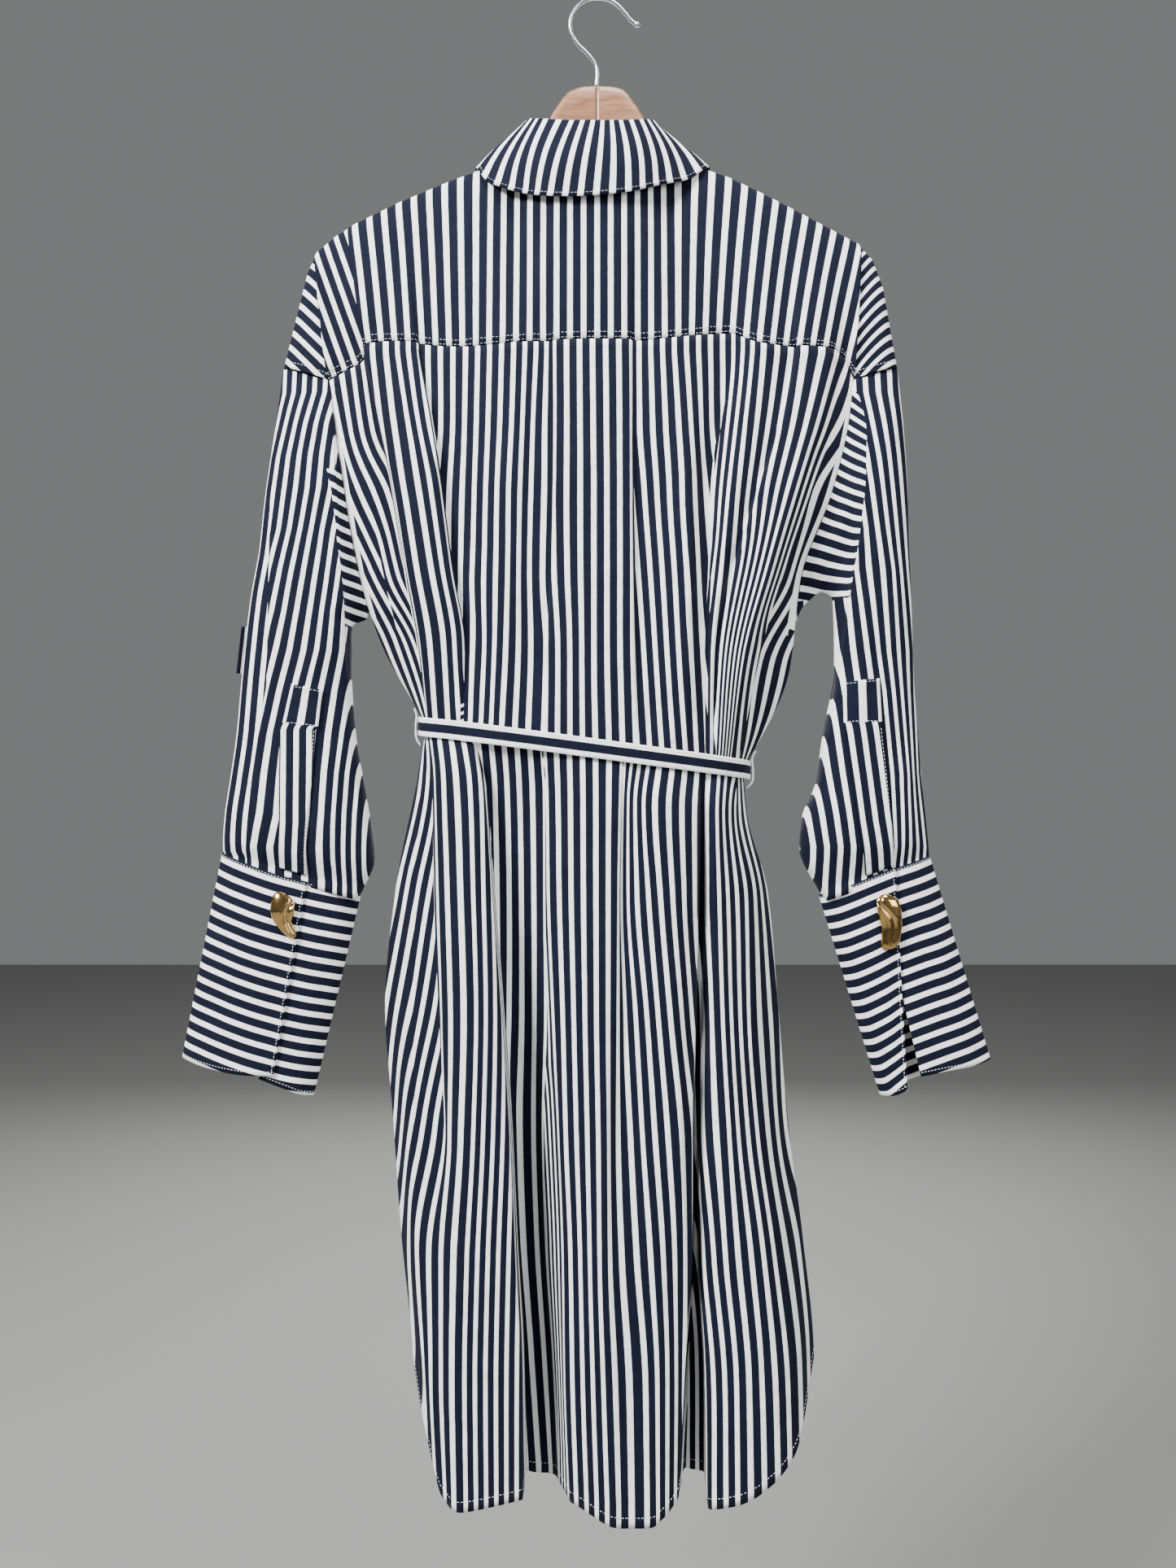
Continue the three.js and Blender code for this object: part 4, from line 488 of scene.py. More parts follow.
def stripe_run(points, at, place, numbers):
    """Stripe number at each face corner: even steps of real length between two folds.

    Where a fold hides cloth, the wall between its foot and its edge keeps the real width of the stripes, counted
    from the edge that stands out. It comes in by degrees as more is hidden, so no stripe jumps sideways.
    """
    run = np.concatenate([np.zeros((len(points), 1)),
                          np.cumsum(np.linalg.norm(np.diff(points, axis=1), axis=2), axis=1)], 1)
    columns = np.searchsorted(place, np.asarray(at) - 1e-9)
    out = np.zeros((points.shape[0] - 1, points.shape[1] - 1, 4))
    for k, (i, j) in enumerate(zip(columns, columns[1:])):
        start, end = numbers[k], numbers[k + 1]
        length = run[:, j] - run[:, i]
        real = length / STRIPE * np.sign(end - start)
        hidden = np.abs(end - start) / np.maximum(np.abs(real), 1e-6)
        hides = np.clip((hidden - 1.4) / 0.8, 0, 1) * (at[k + 1] - at[k] < WALL)
        proud = np.clip(0.5 + (points[:, i, 1] - points[:, j, 1]) / 3, 0, 1)
        extra = hides * (end - real - start)
        start, end = start + proud * extra, end - (1 - proud) * extra
        part = (run[:, i:j + 1] - run[:, i:i + 1]) / length[:, None]
        out[:, i:j] = corners(start[:, None] + (end - start)[:, None] * part)
    return out


def with_down(points, stripes):
    """Stripe numbers and the way down the cloth, both in stripes, for the faces' corners."""
    down = np.linalg.norm(np.diff(points, axis=0), axis=2)
    down = np.concatenate([np.zeros((1, points.shape[1])), np.cumsum(down, axis=0)]) / STRIPE
    return np.stack([stripes, corners(down)], -1)


def striped_cotton():
    """Navy within a quarter of a stripe of each whole number, white between, with slubs and soft crumples."""
    material, start, put = finish("striped cotton", Sheen_Weight=0.02, Sheen_Roughness=0.5, Specular_IOR_Level=0.06)
    across = start.node("SeparateXYZ", Vector=start.node("UVMap", {"uv_map": "stripe"}))
    down = Socket(across.tree, across.out.node.outputs[1])
    place = start.node("TexCoord", out=3)
    slub = start.node("TexNoise", Vector=start.node("CombineXYZ", X=across * 9.0, Y=down * 1.2), Scale=1.0, Detail=2.0)
    wander = (slub - 0.5) * 0.03
    navy = ((0.31 - (across + wander).maths("PINGPONG", across + wander, 0.5)) / 0.024).clamp()
    cloud = start.node("TexNoise", Vector=place, Scale=14.0, Detail=3.0, Roughness=0.55)
    tone = slub * 0.5 + cloud * 0.5
    white = tone.clamp().mix((0.74, 0.75, 0.745, 1), (0.87, 0.88, 0.87, 1))
    blue = tone.clamp().mix((0.0026, 0.0038, 0.0105, 1), (0.0056, 0.0078, 0.0195, 1))
    crumple = start.node("TexNoise", Vector=place, Scale=22.0, Detail=4.0, Roughness=0.5, Distortion=0.3)
    puffs = start.node("TexNoise", Vector=place, Scale=75.0, Detail=2.0, Roughness=0.5)
    soft = start.node("Bump", Height=crumple + puffs * 0.16, Strength=0.7, Distance=0.005)
    put(Base_Color=navy.mix(white, blue), Roughness=tone * 0.1 + 0.74, Normal=soft)
    return material


cotton = striped_cotton()


def sew(name, grid, uv, face, nodes, thick=1.0, around=False):
    """A thin piece of striped cotton: a grid of its outer face, given its thickness inwards."""
    made = shape(name, grid, uv, face, around=around)
    wall = made.modifiers.new("thickness", "SOLIDIFY")
    wall.thickness, wall.offset = thick * 0.001, -1
    fasten(made, "striped_cotton", cotton, *nodes)
    return made


thread, start, put = finish("white thread", Sheen_Weight=0.1)
twist = start.node("TexNoise", Vector=start.node("TexCoord", out=3), Scale=900.0, Detail=2.0)
put(Base_Color=twist.mix((0.66, 0.67, 0.68, 1), (0.84, 0.85, 0.86, 1)), Roughness=twist * 0.2 + 0.6)


def inset(grid, edge, away, out=None):
    """Line on a grid, so far in from one of its edges, with normals that point along out or away from its middle."""
    turned = {"top": grid, "bottom": grid[::-1], "left": grid.transpose(1, 0, 2),
              "right": grid.transpose(1, 0, 2)[::-1]}[edge]
    run = np.concatenate([np.zeros((1, turned.shape[1])),
                          np.cumsum(np.linalg.norm(np.diff(turned, axis=0), axis=2), axis=0)])
    i = np.clip((run < away).sum(0) - 1, 0, len(turned) - 2)
    c = np.arange(turned.shape[1])
    f = (away - run[i, c]) / (run[i + 1, c] - run[i, c])
    step = turned[i + 1, c] - turned[i, c]
    line = turned[i, c] + f[:, None] * step
    normal = unit(np.cross(np.gradient(line, axis=0), step))
    toward = line - line.mean(0) if out is None else np.asarray(out, float)
    return line, normal * np.sign((normal * toward).sum(-1, keepdims=True))


def stitches(name, lines, pitch=3.0, long=2.1, fat=0.18):
    """Sewing thread: spindles of two square rings and two tips, one for each pitch along the lines."""
    rings, faces, count = [], [], 0
    for line, normal in lines:
        step = np.linalg.norm(np.diff(line, axis=0), axis=1)
        run = np.concatenate([[0], np.cumsum(step)])
        at = np.arange(pitch / 2, run[-1] - pitch / 2, pitch)
        middle, up = (np.stack([np.interp(at, run, a[:, k]) for k in range(3)], -1) for a in (line, normal))
        ahead = np.stack([np.interp(at + 0.5, run, line[:, k]) for k in range(3)], -1)
        way, up = unit(ahead - middle), unit(up)
        over = np.cross(way, up)
        middle = middle + up * fat * 0.55
        ring = [middle + way * along * long + up * high * fat + over * side * fat for along, high, side in (
            (-0.5, -0.6, 0), (-0.3, 1, 0), (-0.3, 0, 1), (-0.3, -1, 0), (-0.3, 0, -1), (0.3, 1, 0), (0.3, 0, 1),
            (0.3, -1, 0), (0.3, 0, -1), (0.5, -0.6, 0))]
        rings.append(np.stack(ring, 1).reshape(-1, 3))
        base = count + np.arange(len(at))[:, None, None] * 10
        sides = np.array([[1 + k, 1 + (k + 1) % 4, 5 + (k + 1) % 4, 5 + k] for k in range(4)])
        tips = np.array([[0, 1 + (k + 1) % 4, 1 + k] for k in range(4)] + [[9, 5 + k, 5 + (k + 1) % 4] for k in range(4)])
        faces += (base + sides).reshape(-1, 4).tolist() + (base + tips).reshape(-1, 3).tolist()
        count += len(at) * 10
    mesh = bpy.data.meshes.new(name)
    mesh.from_pydata((np.concatenate(rings) * 0.001).tolist(), [], faces)
    mesh.polygons.foreach_set("use_smooth", [True] * len(faces))
    made = bpy.data.objects.new(name, mesh)
    bpy.context.collection.objects.link(made)
    return fasten(made, "thread", thread)


def seam_top(u):
    return smooth(UPPER_AT, [fold[2] for fold in UPPER_FOLDS], u)


def back_hem(u):
    return smooth(LOWER_AT, [fold[2] for fold in LOWER_FOLDS], u)


keys = np.unique(np.round(UPPER_AT + LOWER_AT, 4))
levels = np.linspace(-290, -1180, 40)[:, None]
place = spread(keys, back_points(keys[None], levels), 2.95)
down = np.concatenate([np.linspace(0, 0.9, 50), np.linspace(0.915, 1, 8)])[:, None]
upper = seam_top(place) - SEAM / 2
upper = upper + (BELT_HEIGHT - upper) * down
lower = BELT_HEIGHT + (back_hem(place) - BELT_HEIGHT) * np.concatenate([np.linspace(0.008, 0.1, 12),
                                                                       np.linspace(0.11, 1, 96)])[:, None]
height = np.concatenate([upper, lower])
back = back_points(place[None], height)
plain = back.copy()
back = creased(back, BACK_CREASES, -1)
belt_row = len(upper) - 1
number = {}
for name, folds, heights in (("upper", UPPER_FOLDS, UPPER_HEIGHTS), ("lower", LOWER_FOLDS, LOWER_HEIGHTS)):
    rows = slice(0, belt_row + 1) if name == "upper" else slice(belt_row, None)
    at = [fold[1] for fold in folds]
    numbers = [smooth(-heights, fold[5], -height[rows][:, np.searchsorted(place, fold[1] - 1e-9)]) for fold in folds]
    number[name] = stripe_run(plain[rows], at, place, numbers)
number = np.concatenate([number["upper"], number["lower"]])
edging = (place[:-1] < 0.0035) | (place[1:] > 0.9925)
above_arm = (height[:-1, :-1] > -505)[..., None]
number = np.where(edging[None, :, None] & above_arm, 0.5, number)
sew("back_body", back, with_down(plain, number), -1, ["back_panel"])
hem_line = inset(back, "bottom", 8, (0, -1, 0))
arm_rows = slice(0, int((height[:, 0] > -500).sum()))
arm_lines = [inset(back[arm_rows], edge, 2.2, (0, -1, 0)) for edge in ("left", "right")]
stitches("back_stitching", [hem_line] + arm_lines)

# Back yoke
# Cut in one over both shoulders, from the straight seam across the back to the front seams, and topstitched twice.
# It drops past the shoulders, where the arms of the hanger push soft folds into it.
YOKE_SHOULDERS = {
    "left": [(0, (-253.4, -299.7), (-214.4, 10.2, -311.7)), (0.0175, (-244.5, -264), (-217, 12, -286)),
             (0.0326, (-234, -222), (-215, 14, -258)), (0.0426, (-226.5, -206), (-211, 15, -240)),
             (0.075, (-210, -191.5), (-199, 15.5, -226)), (0.1053, (-192, -181), (-184, 16, -217)),
             (0.1429, (-160, -165), (-155, 16, -203)), (0.2206, (-118, -147.5), (-116, 16, -186)),
             (0.2406, (-82, -134.5), (-73, 10, -141))],
    "right": [(0.845, (76, -134), (66, 10, -141)), (0.8722, (108, -145), (106, 16, -183)),
              (0.886, (134, -157.5), (130, 16, -196)), (0.9023, (163, -172.5), (158, 16, -209)),
              (0.9499, (190, -187), (181, 15.5, -222)), (0.9724, (212, -199.5), (199, 15, -237)),
              (0.985, (223, -211), (205, 14, -254)), (0.993, (232, -234), (208, 12, -282)),
              (1, (243.6, -299.1), (206.7, 10.2, -310.7))],
}
YOKE_NECK = [(0.2607, (-68, -8, -139.5)), (0.3534, (-50, -22, -144)), (0.43, (-27, -28, -148)),
             (0.5288, (-3, -30, -150)), (0.63, (22, -28, -148)), (0.7168, (42, -22, -144)), (0.8, (60, -9.2, -140))]
# The same share of the way over the shoulder and up to the neck
OVER_SHOULDER = [0, 0.1, 0.2, 0.3, 0.4, 0.5, 0.6, 0.7, 0.8, 0.9, 1]
TO_NECK = [0, 0.24, 0.48, 0.7, 0.87, 0.91, 0.93, 0.948, 0.965, 0.982, 1]
# Folds that run up from the armholes: x at the heights given
SHOULDER_FOLDS = {"outer": ([-216.3, -228], [-312.5, -208]), "inner": ([-184.6, -201], [-298, -188]),
                  "right": ([207, 212.9], [-311, -216])}
YOKE_CREASES = [
    (-26, -172, -50, -276, 1.7, 5.0), (-38, -176, -66, -262, -1.5, 5.5), (-96, -160, -122, -270, 1.2, 7.0),
    (30, -176, 52, -268, 1.2, 6.0), (74, -156, 96, -262, -1.3, 7.0), (120, -170, 140, -276, 1.2, 7.0),
    (-150, -178, -166, -280, -1.1, 7.0), (172, -188, 178, -284, 1.2, 6.0), (-8, -182, -10, -280, -0.9, 7.0),
    (-232, -232, -214, -296, 1.0, 4.5), (224, -236, 208, -292, 1.1, 4.5), (150, -178, 160, -284, -1.0, 6.0),
    (-64, -158, -90, -230, 0.9, 5.0), (52, -162, 70, -240, -0.9, 5.0), (196, -202, 190, -280, -1.0, 6.0),
]


def straight(rows, u, column):
    """Points between the rows of a table, in even steps of their place."""
    table = np.array([row[column] for row in rows], float)
    return np.stack([np.interp(u, [row[0] for row in rows], table[:, k]) for k in range(table.shape[1])], -1)


def yoke_points(u, t):
    """Points of the yoke at places u and shares t of the way from the back seam.

    Over a shoulder the run passes a point six millimetres before and after the ridge, so that it turns there;
    between the shoulders it ends at the back of the neck.
    """
    seam = back_points(u, seam_top(u) + SEAM / 2) + (0, 0, 0.3)
    grid = np.empty((len(t), len(u), 3))
    done = np.zeros(len(u), bool)
    for rows in YOKE_SHOULDERS.values():
        zone = (u >= rows[0][0]) & (u <= rows[-1][0])
        ridge = straight(rows, u[zone], 1)
        ridge = np.stack([ridge[:, 0], 0 * ridge[:, 0], ridge[:, 1]], -1)
        front = straight(rows, u[zone], 2)
        before = ridge + 6 * unit(seam[zone] - ridge)
        after = ridge + 6 * unit(front - ridge)
        before[:, 1], after[:, 1] = -8.4, 8.4
        middle = (before + seam[zone]) / 2 - (0, 2, 0)
        grid[:, zone] = centripetal(np.stack([seam[zone], middle, before, ridge, after, front]), t)
        done |= zone
    zone = (u >= YOKE_NECK[0][0]) & (u <= YOKE_NECK[-1][0])
    neck = straight(YOKE_NECK, u[zone], 1)
    middle = (neck + seam[zone]) / 2 - (0, 1.5, 0)
    grid[:, zone] = centripetal(np.stack([seam[zone], middle, neck]), np.interp(t, OVER_SHOULDER, TO_NECK))
    done |= zone
    for c in np.flatnonzero(~done):
        a, b = np.flatnonzero(done & (u < u[c]))[-1], np.flatnonzero(done & (u > u[c]))[0]
        f = (u[c] - u[a]) / (u[b] - u[a])
        grid[:, c] = (1 - f) * grid[:, a] + f * grid[:, b]
    return grid


def follow(grid, lines):
    """Grid whose columns run along lines drawn on it, and the column of each line.

    Each line gives the x that it has at a height. Where it meets a row is found there, and the columns between
    two lines are spaced again in even shares. Below 0 a row keeps the place of the row before.
    """
    rows, columns = grid.shape[:2]
    found, index = [np.zeros(rows)], [0]
    for xs, zs, first, last, stop in lines:
        order = np.argsort(zs)
        part = grid[:, first:last]
        beyond = part[..., 0] - np.interp(part[..., 2], np.array(zs)[order], np.array(xs)[order])
        hit = (beyond[:, :-1] <= 0) & (beyond[:, 1:] > 0)
        k = hit.argmax(1)
        r = np.arange(rows)
        place = first + k + beyond[r, k] / (beyond[r, k] - beyond[r, k + 1])
        place = np.where(hit.any(1), place, np.nan)
        if stop:
            place[stop:] = np.nan
        good = np.flatnonzero(~np.isnan(place))
        place = np.interp(r, good, place[good])
        found.append(place)
        index.append(int(round(np.median(place))))
    found, index = np.stack(found + [np.full(rows, columns - 1.0)]), index + [columns - 1]
    spaced = np.stack([np.interp(np.arange(columns), index, found[:, r]) for r in range(rows)])
    low = np.clip(spaced.astype(int), 0, columns - 2)
    f = (spaced - low)[..., None]
    r = np.arange(rows)[:, None]
    return grid[r, low] * (1 - f) + grid[r, low + 1] * f, index[1:-1]


def lapped(points, column, toward, height, reach, side, rows=None):
    """Points raised on one side of a column, as where a fold lies over the cloth: most at its edge, less beyond."""
    span = np.arange(column + 1, points.shape[1]) if toward > 0 else np.arange(column - 1, -1, -1)
    path = points[:, span]
    away = np.concatenate([np.zeros((len(points), 1)),
                           np.cumsum(np.linalg.norm(np.diff(path, axis=1), axis=2), axis=1)], 1)
    fade = np.ones(len(points)) if rows is None else rows
    moved = points.copy()
    moved[:, span, 1] += side * height * fade[:, None] * np.exp(-away / reach)
    return moved


def yoke_stripes(grid, folds):
    """Stripe numbers of the yoke: one rule for each zone between the folds, mirrored behind the ridge."""
    ridge = grid[..., 2].max(0)
    over = np.maximum.accumulate(grid[..., 2] >= ridge - 1e-6, axis=0)
    x, z = grid[..., 0], np.where(over, 2 * ridge - grid[..., 2], grid[..., 2])
    lean = 0.14 * np.clip((-x - 90) / 110, 0, 1) - 0.22 * np.clip((x - 60) / 140, 0, 1)
    middle = (x + lean * (z + 290) - 5.6) / 10.64
    between = ((x + 0.36 * (z + 290)) * 0.941 + 189.7) / 9.6
    left = ((x + z) / math.sqrt(2) + 350.9) / 9.8
    right = (z - 1.4 * (x - 207) + 0.0125 * (x - 207) ** 2 + 300.8) / 10.9
    column = np.arange(grid.shape[1] - 1)[None, :, None]
    outer, inner, far = folds
    return np.where(column < outer, corners(left), np.where(column < inner, corners(between),
                    np.where(column < far, corners(middle), corners(right))))


yoke_keys = np.unique(np.round(list(keys) + [row[0] for rows in YOKE_SHOULDERS.values() for row in rows]
                               + [row[0] for row in YOKE_NECK], 4))
share = np.linspace(0, 1, 64)
yoke_place = spread(yoke_keys, yoke_points(yoke_keys, np.linspace(0, 1, 9)), 2.6)
yoke = yoke_points(yoke_place, share)
ridge_row = int(np.median(yoke[:, yoke_place < 0.2, 2].argmax(0)))
left_end, right_start = int((yoke_place < 0.2).sum()), int((yoke_place < 0.9).sum())
yoke, folds = follow(yoke, [(*SHOULDER_FOLDS["outer"], 0, left_end, ridge_row),
                            (*SHOULDER_FOLDS["inner"], 0, left_end, ridge_row),
                            (*SHOULDER_FOLDS["right"], right_start, yoke.shape[1], ridge_row)])
number = yoke_stripes(yoke, folds)
flat_yoke = yoke.copy()
fade = np.clip((ridge_row - np.arange(len(yoke))) / 10, 0, 1) * np.clip(np.arange(len(yoke)) / 5, 0.25, 1)
yoke = lapped(yoke, folds[0], 1, 3.4, 14, -1, fade)
yoke = lapped(yoke, folds[1], 1, 3.2, 16, -1, fade)
yoke = lapped(yoke, folds[2], -1, 3.4, 16, -1, fade)
yoke = creased(yoke, YOKE_CREASES, -1)
sew("yoke", yoke, with_down(flat_yoke, number), 1, ["back_yoke"])
behind = yoke[:ridge_row]
stitches("yoke_stitching", [inset(behind, "top", 1.4, (0, -1, 0)), inset(behind, "top", 5.8, (0, -1, 0)),
                            inset(yoke, "left", 5, (-1, -0.3, 0)), inset(yoke, "right", 5, (1, -0.3, 0))])

# Fronts and button band
# Two fronts meet at the middle and are joined below the yoke and at the sides. They fall in soft folds to the hem.
# A band of the same cotton covers their meeting edges and carries eight shirt buttons.
NECK_FRONT = [(0.43, (-46, 25, -181)), (0.5, (-5, 33, -196)), (0.57, (38, 25, -181))]
FRONT_HEM = -1168
ARM_ROOT = -500.9
DEEP_AT, DEEP = [250, 404, 532, 607, 722, 908, 1100, 1190], [26, 33, 36, 37, 39, 41, 42, 42]
FOLD_AT, FOLD = [300, 420, 560, 607, 680, 900, 1190], [0.5, 2.5, 2, 0.5, 4, 7, 8]
BAND = (0.45, 0.55)
FRONT_CREASES = [
    (-104, -300, -84, -520, 1.4, 8.0), (-60, -330, -70, -560, -1.3, 7.0), (56, -300, 72, -520, 1.4, 8.0),
    (96, -340, 84, -590, -1.3, 7.0), (-110, -550, -98, -604, 1.5, 3.0), (-66, -560, -60, -606, -1.4, 3.0),
    (-36, -556, -34, -606, 1.3, 3.0), (30, -560, 30, -612, 1.4, 3.0), (64, -556, 62, -614, -1.4, 3.0),
    (92, -566, 90, -616, 1.4, 3.0), (-96, -700, -92, -612, 1.6, 4.0), (-50, -690, -48, -612, -1.5, 3.5),
    (24, -700, 24, -616, 1.5, 3.5), (66, -690, 62, -620, -1.5, 3.5), (-110, -760, -120, -1000, 1.4, 9.0),
    (100, -800, 118, -1040, 1.4, 9.0), (-40, -800, -46, -1050, -1.3, 9.0), (50, -860, 60, -1110, -1.3, 9.0),
]


def front_top():
    """Upper edge of the fronts: place across and point, just under the yoke's front seam and round the neck."""
    entries = []
    for rows, low, high in ((YOKE_SHOULDERS["left"], 0, 0.36), (YOKE_SHOULDERS["right"], 0.64, 1)):
        points = np.array([row[2] for row in rows])
        run = np.concatenate([points[1:], points[-1:]]) - np.concatenate([points[:1], points[:-1]])
        away = unit(np.stack([run[:, 2], 0 * run[:, 0], -run[:, 0]], -1))
        entries.append((np.linspace(low, high, len(rows)), points + 0.7 * away))
    (left_w, left), (right_w, right) = entries
    neck_w, neck = zip(*NECK_FRONT)
    return np.concatenate([left_w, neck_w, right_w]), np.concatenate([left, neck, right])


TOP_AT, TOP_POINTS = front_top()


def bulge(w):
    return np.sqrt(np.maximum(0, 1 - np.abs(2 * w - 1) ** 2.6))


def front_points(w, h):
    """Points of the fronts at place w across and height h.

    They keep to the edges of the back at both sides and stand out between them as a flattened oval, with waves
    across that grow towards the hem.
    """
    w, h = np.broadcast_arrays(np.asarray(w, float), np.asarray(h, float))
    above = h > BELT_HEIGHT

    def edge(k, column):
        up, low = (smooth(-heights, folds[k][column], -h.ravel()).reshape(h.shape)
                   for heights, folds in ((UPPER_HEIGHTS, UPPER_FOLDS), (LOWER_HEIGHTS, LOWER_FOLDS)))
        return np.where(above, up, low)

    edge_y = np.where(above, -np.where(w > 0.5, edge(-1, 4), edge(0, 4)) - SEAM, 0)
    out = bulge(w)
    wave = smooth(FOLD_AT, FOLD, -h.ravel()).reshape(h.shape) * out
    wave = wave * np.sin(2 * np.pi * (3.5 * w + 0.18 + 0.1 * np.sin(5 * w)))
    y = edge_y + (smooth(DEEP_AT, DEEP, -h.ravel()).reshape(h.shape) - edge_y) * out + wave
    return np.stack([edge(0, 3) + (edge(-1, 3) - edge(0, 3)) * w, y, tilted(w, h)], -1)


def front_grid(w):
    """Rows from the yoke and neck down to the underarm, eased onto the body of the front, and then to the hem."""
    top = smooth(TOP_AT, TOP_POINTS, w)
    t = np.linspace(0, 1, 40)[:, None]
    h = top[None, :, 2] + (ARM_ROOT - top[None, :, 2]) * t
    upper = front_points(w[None], h)
    off = (top - front_points(w, top[:, 2]))[None] * (1 - t[..., None]) ** 1.6
    upper[..., :2] += off[..., :2]
    hem = -1100.5 + (FRONT_HEM + 1100.5) * bulge(w) ** 1.4
    t = np.concatenate([np.linspace(0.012, 0.16, 13), np.linspace(0.172, 1, 64)])[:, None]
    return np.concatenate([upper, front_points(w[None], ARM_ROOT + (hem - ARM_ROOT)[None] * t)])


front_lines = []
for side, low, high in (("left", 0, 0.4994), ("right", 0.5006, 1)):
    w = np.unique(np.concatenate([np.linspace(low, high, 62), low + (high - low) * (0.5 - 0.5 * np.cos(
        np.linspace(0, np.pi, 21)))]))
    front = creased(front_grid(w), FRONT_CREASES, 1)
    number = np.broadcast_to((w - 0.5) * 43 + 0.5, front.shape[:2])
    sew("front_" + side + "_body", front, with_down(front, corners(number)), 1, ["front_" + side])
    front_lines += [inset(front, "bottom", 8, (0, 1, 0)), inset(front, "top", 2, (0, 1, 0))]
band = creased(front_grid(np.linspace(*BAND, 15)), FRONT_CREASES, 1) + (0, 1.5, 0)
band_number = np.broadcast_to(np.linspace(-0.95, 0.95, 15), band.shape[:2])
sew("button_band", band, with_down(band, corners(band_number)), 1, ["front_band"])
front_lines += [inset(band, "left", 2.2, (0, 1, 0)), inset(band, "right", 2.2, (0, 1, 0))]
stitches("front_stitching", front_lines)

BUTTON_HEIGHTS = [-225, -318, -412, -506, -700, -795, -890, -985]
BUTTON_RADIUS, BUTTON_THICK = 5.5, 2.2
BUTTON_PROFILE = [(0.001, 0.0), (0.9, 0.0), (1.0, 0.25), (1.0, 0.7), (0.9, 1.0), (0.78, 0.98), (0.66, 0.72), (0.3, 0.66),
                  (0.001, 0.66)]
pearl, start, put = finish("pearly shirt button", Coat_Weight=0.5, Coat_Roughness=0.12, Specular_IOR_Level=0.6)
sheen = start.node("TexNoise", Vector=start.node("TexCoord", out=3), Scale=160.0, Detail=2.0, Distortion=1.5)
put(Base_Color=sheen.mix((0.62, 0.60, 0.55, 1), (0.80, 0.79, 0.76, 1)), Roughness=sheen * 0.15 + 0.2)
cross_lines = []
centre = band[:, 7]
for k, z in enumerate(BUTTON_HEIGHTS):
    over = int((centre[:, 2] > z).sum())
    f = (centre[over - 1, 2] - z) / (centre[over - 1, 2] - centre[over, 2])
    middle = centre[over - 1] * (1 - f) + centre[over] * f
    downward = unit(centre[over + 2] - centre[over - 3])
    outward = unit(np.cross(band[over, 9] - band[over, 5], downward))
    outward = outward * np.sign(outward[1])
    across = np.cross(downward, outward)
    turn = np.linspace(0, 2 * np.pi, 28, endpoint=False)[None, :, None]
    profile = np.array(BUTTON_PROFILE)
    ring = BUTTON_RADIUS * profile[:, :1, None] * (np.cos(turn) * across + np.sin(turn) * downward)
    button = middle + outward * (0.6 + BUTTON_THICK * profile[:, 1:, None]) + ring
    fasten(shape("shirt_button_%d" % (k + 1), button, around=True, caps=True), "shirt_button", pearl,
           "front_button_%d" % (k + 1))
    for lean in (1, -1):
        reach = np.linspace(-1.7, 1.7, 3)[:, None] * unit(across + lean * downward)
        cross_lines.append((middle + outward * (0.6 + BUTTON_THICK * 0.68) + reach, np.tile(outward, (3, 1))))
stitches("button_thread", cross_lines, pitch=1.1, long=2.6, fat=0.3)

# Collar
# A pointed shirt collar: a stand sewn round the neck and a fall that turns down over it, both doubled and pressed.
# The fall is topstitched near its edge, and its striped cotton runs straight up and down at the back.
COLLAR_ROLL = [(-9, 35, -176), (-24, 33, -158), (-47, 23, -128), (-54.5, 14, -116), (-58.5, 5, -105.5), (-59, -3, -103),
               (-56, -10, -102.5), (-43.5, -21, -107.5), (-22, -28, -112), (0, -30, -113), (20, -28, -112),
               (38, -21, -108), (47, -10, -103.5), (49.5, -3, -104), (49, 5, -106), (47, 14, -116), (41, 23, -128),
               (18, 33, -158), (3, 35, -176)]
COLLAR_EDGE = [(-44, 41, -216), (-74, 36, -200), (-95, 19, -164), (-98, 12, -144), (-98.5, 1, -136.6),
               (-95, -11, -142.5), (-88, -16, -153.5), (-60, -28, -168.6), (-40, -35, -174), (-8.5, -38, -175.5),
               (26.7, -36, -171), (51, -29, -162.6), (74, -18, -153), (86.5, -12, -142.5), (92, 1, -135.6),
               (91.5, 12, -143.5), (88, 19, -162), (66, 36, -200), (36, 41, -216)]
COLLAR_SEAM = [(-8, 31, -193), (-30, 28, -185), (-55, 19, -165), (-62.5, 13, -152), (-66.5, 5, -141), (-66, -1, -139),
               (-63, -8, -138.5), (-48, -19.5, -143), (-27, -26, -148), (-3, -28, -149.6), (21, -26, -148),
               (40, -19.5, -143), (55, -8, -138.5), (58.5, -1, -139), (59.5, 5, -141), (55, 13, -152),
               (47, 19, -165), (22, 28, -185), (0, 31, -193)]
COLLAR_CREASES = [(-44, -116, -70, -156, 0.8, 4.0), (40, -116, 60, -152, -0.8, 4.0), (-6, -118, -10, -166, 0.5, 5.0),
                  (24, -118, 34, -160, 0.6, 4.0), (-26, -118, -36, -166, -0.6, 4.0)]


def from_neck(points):
    return unit(points * (1, 1, 0))


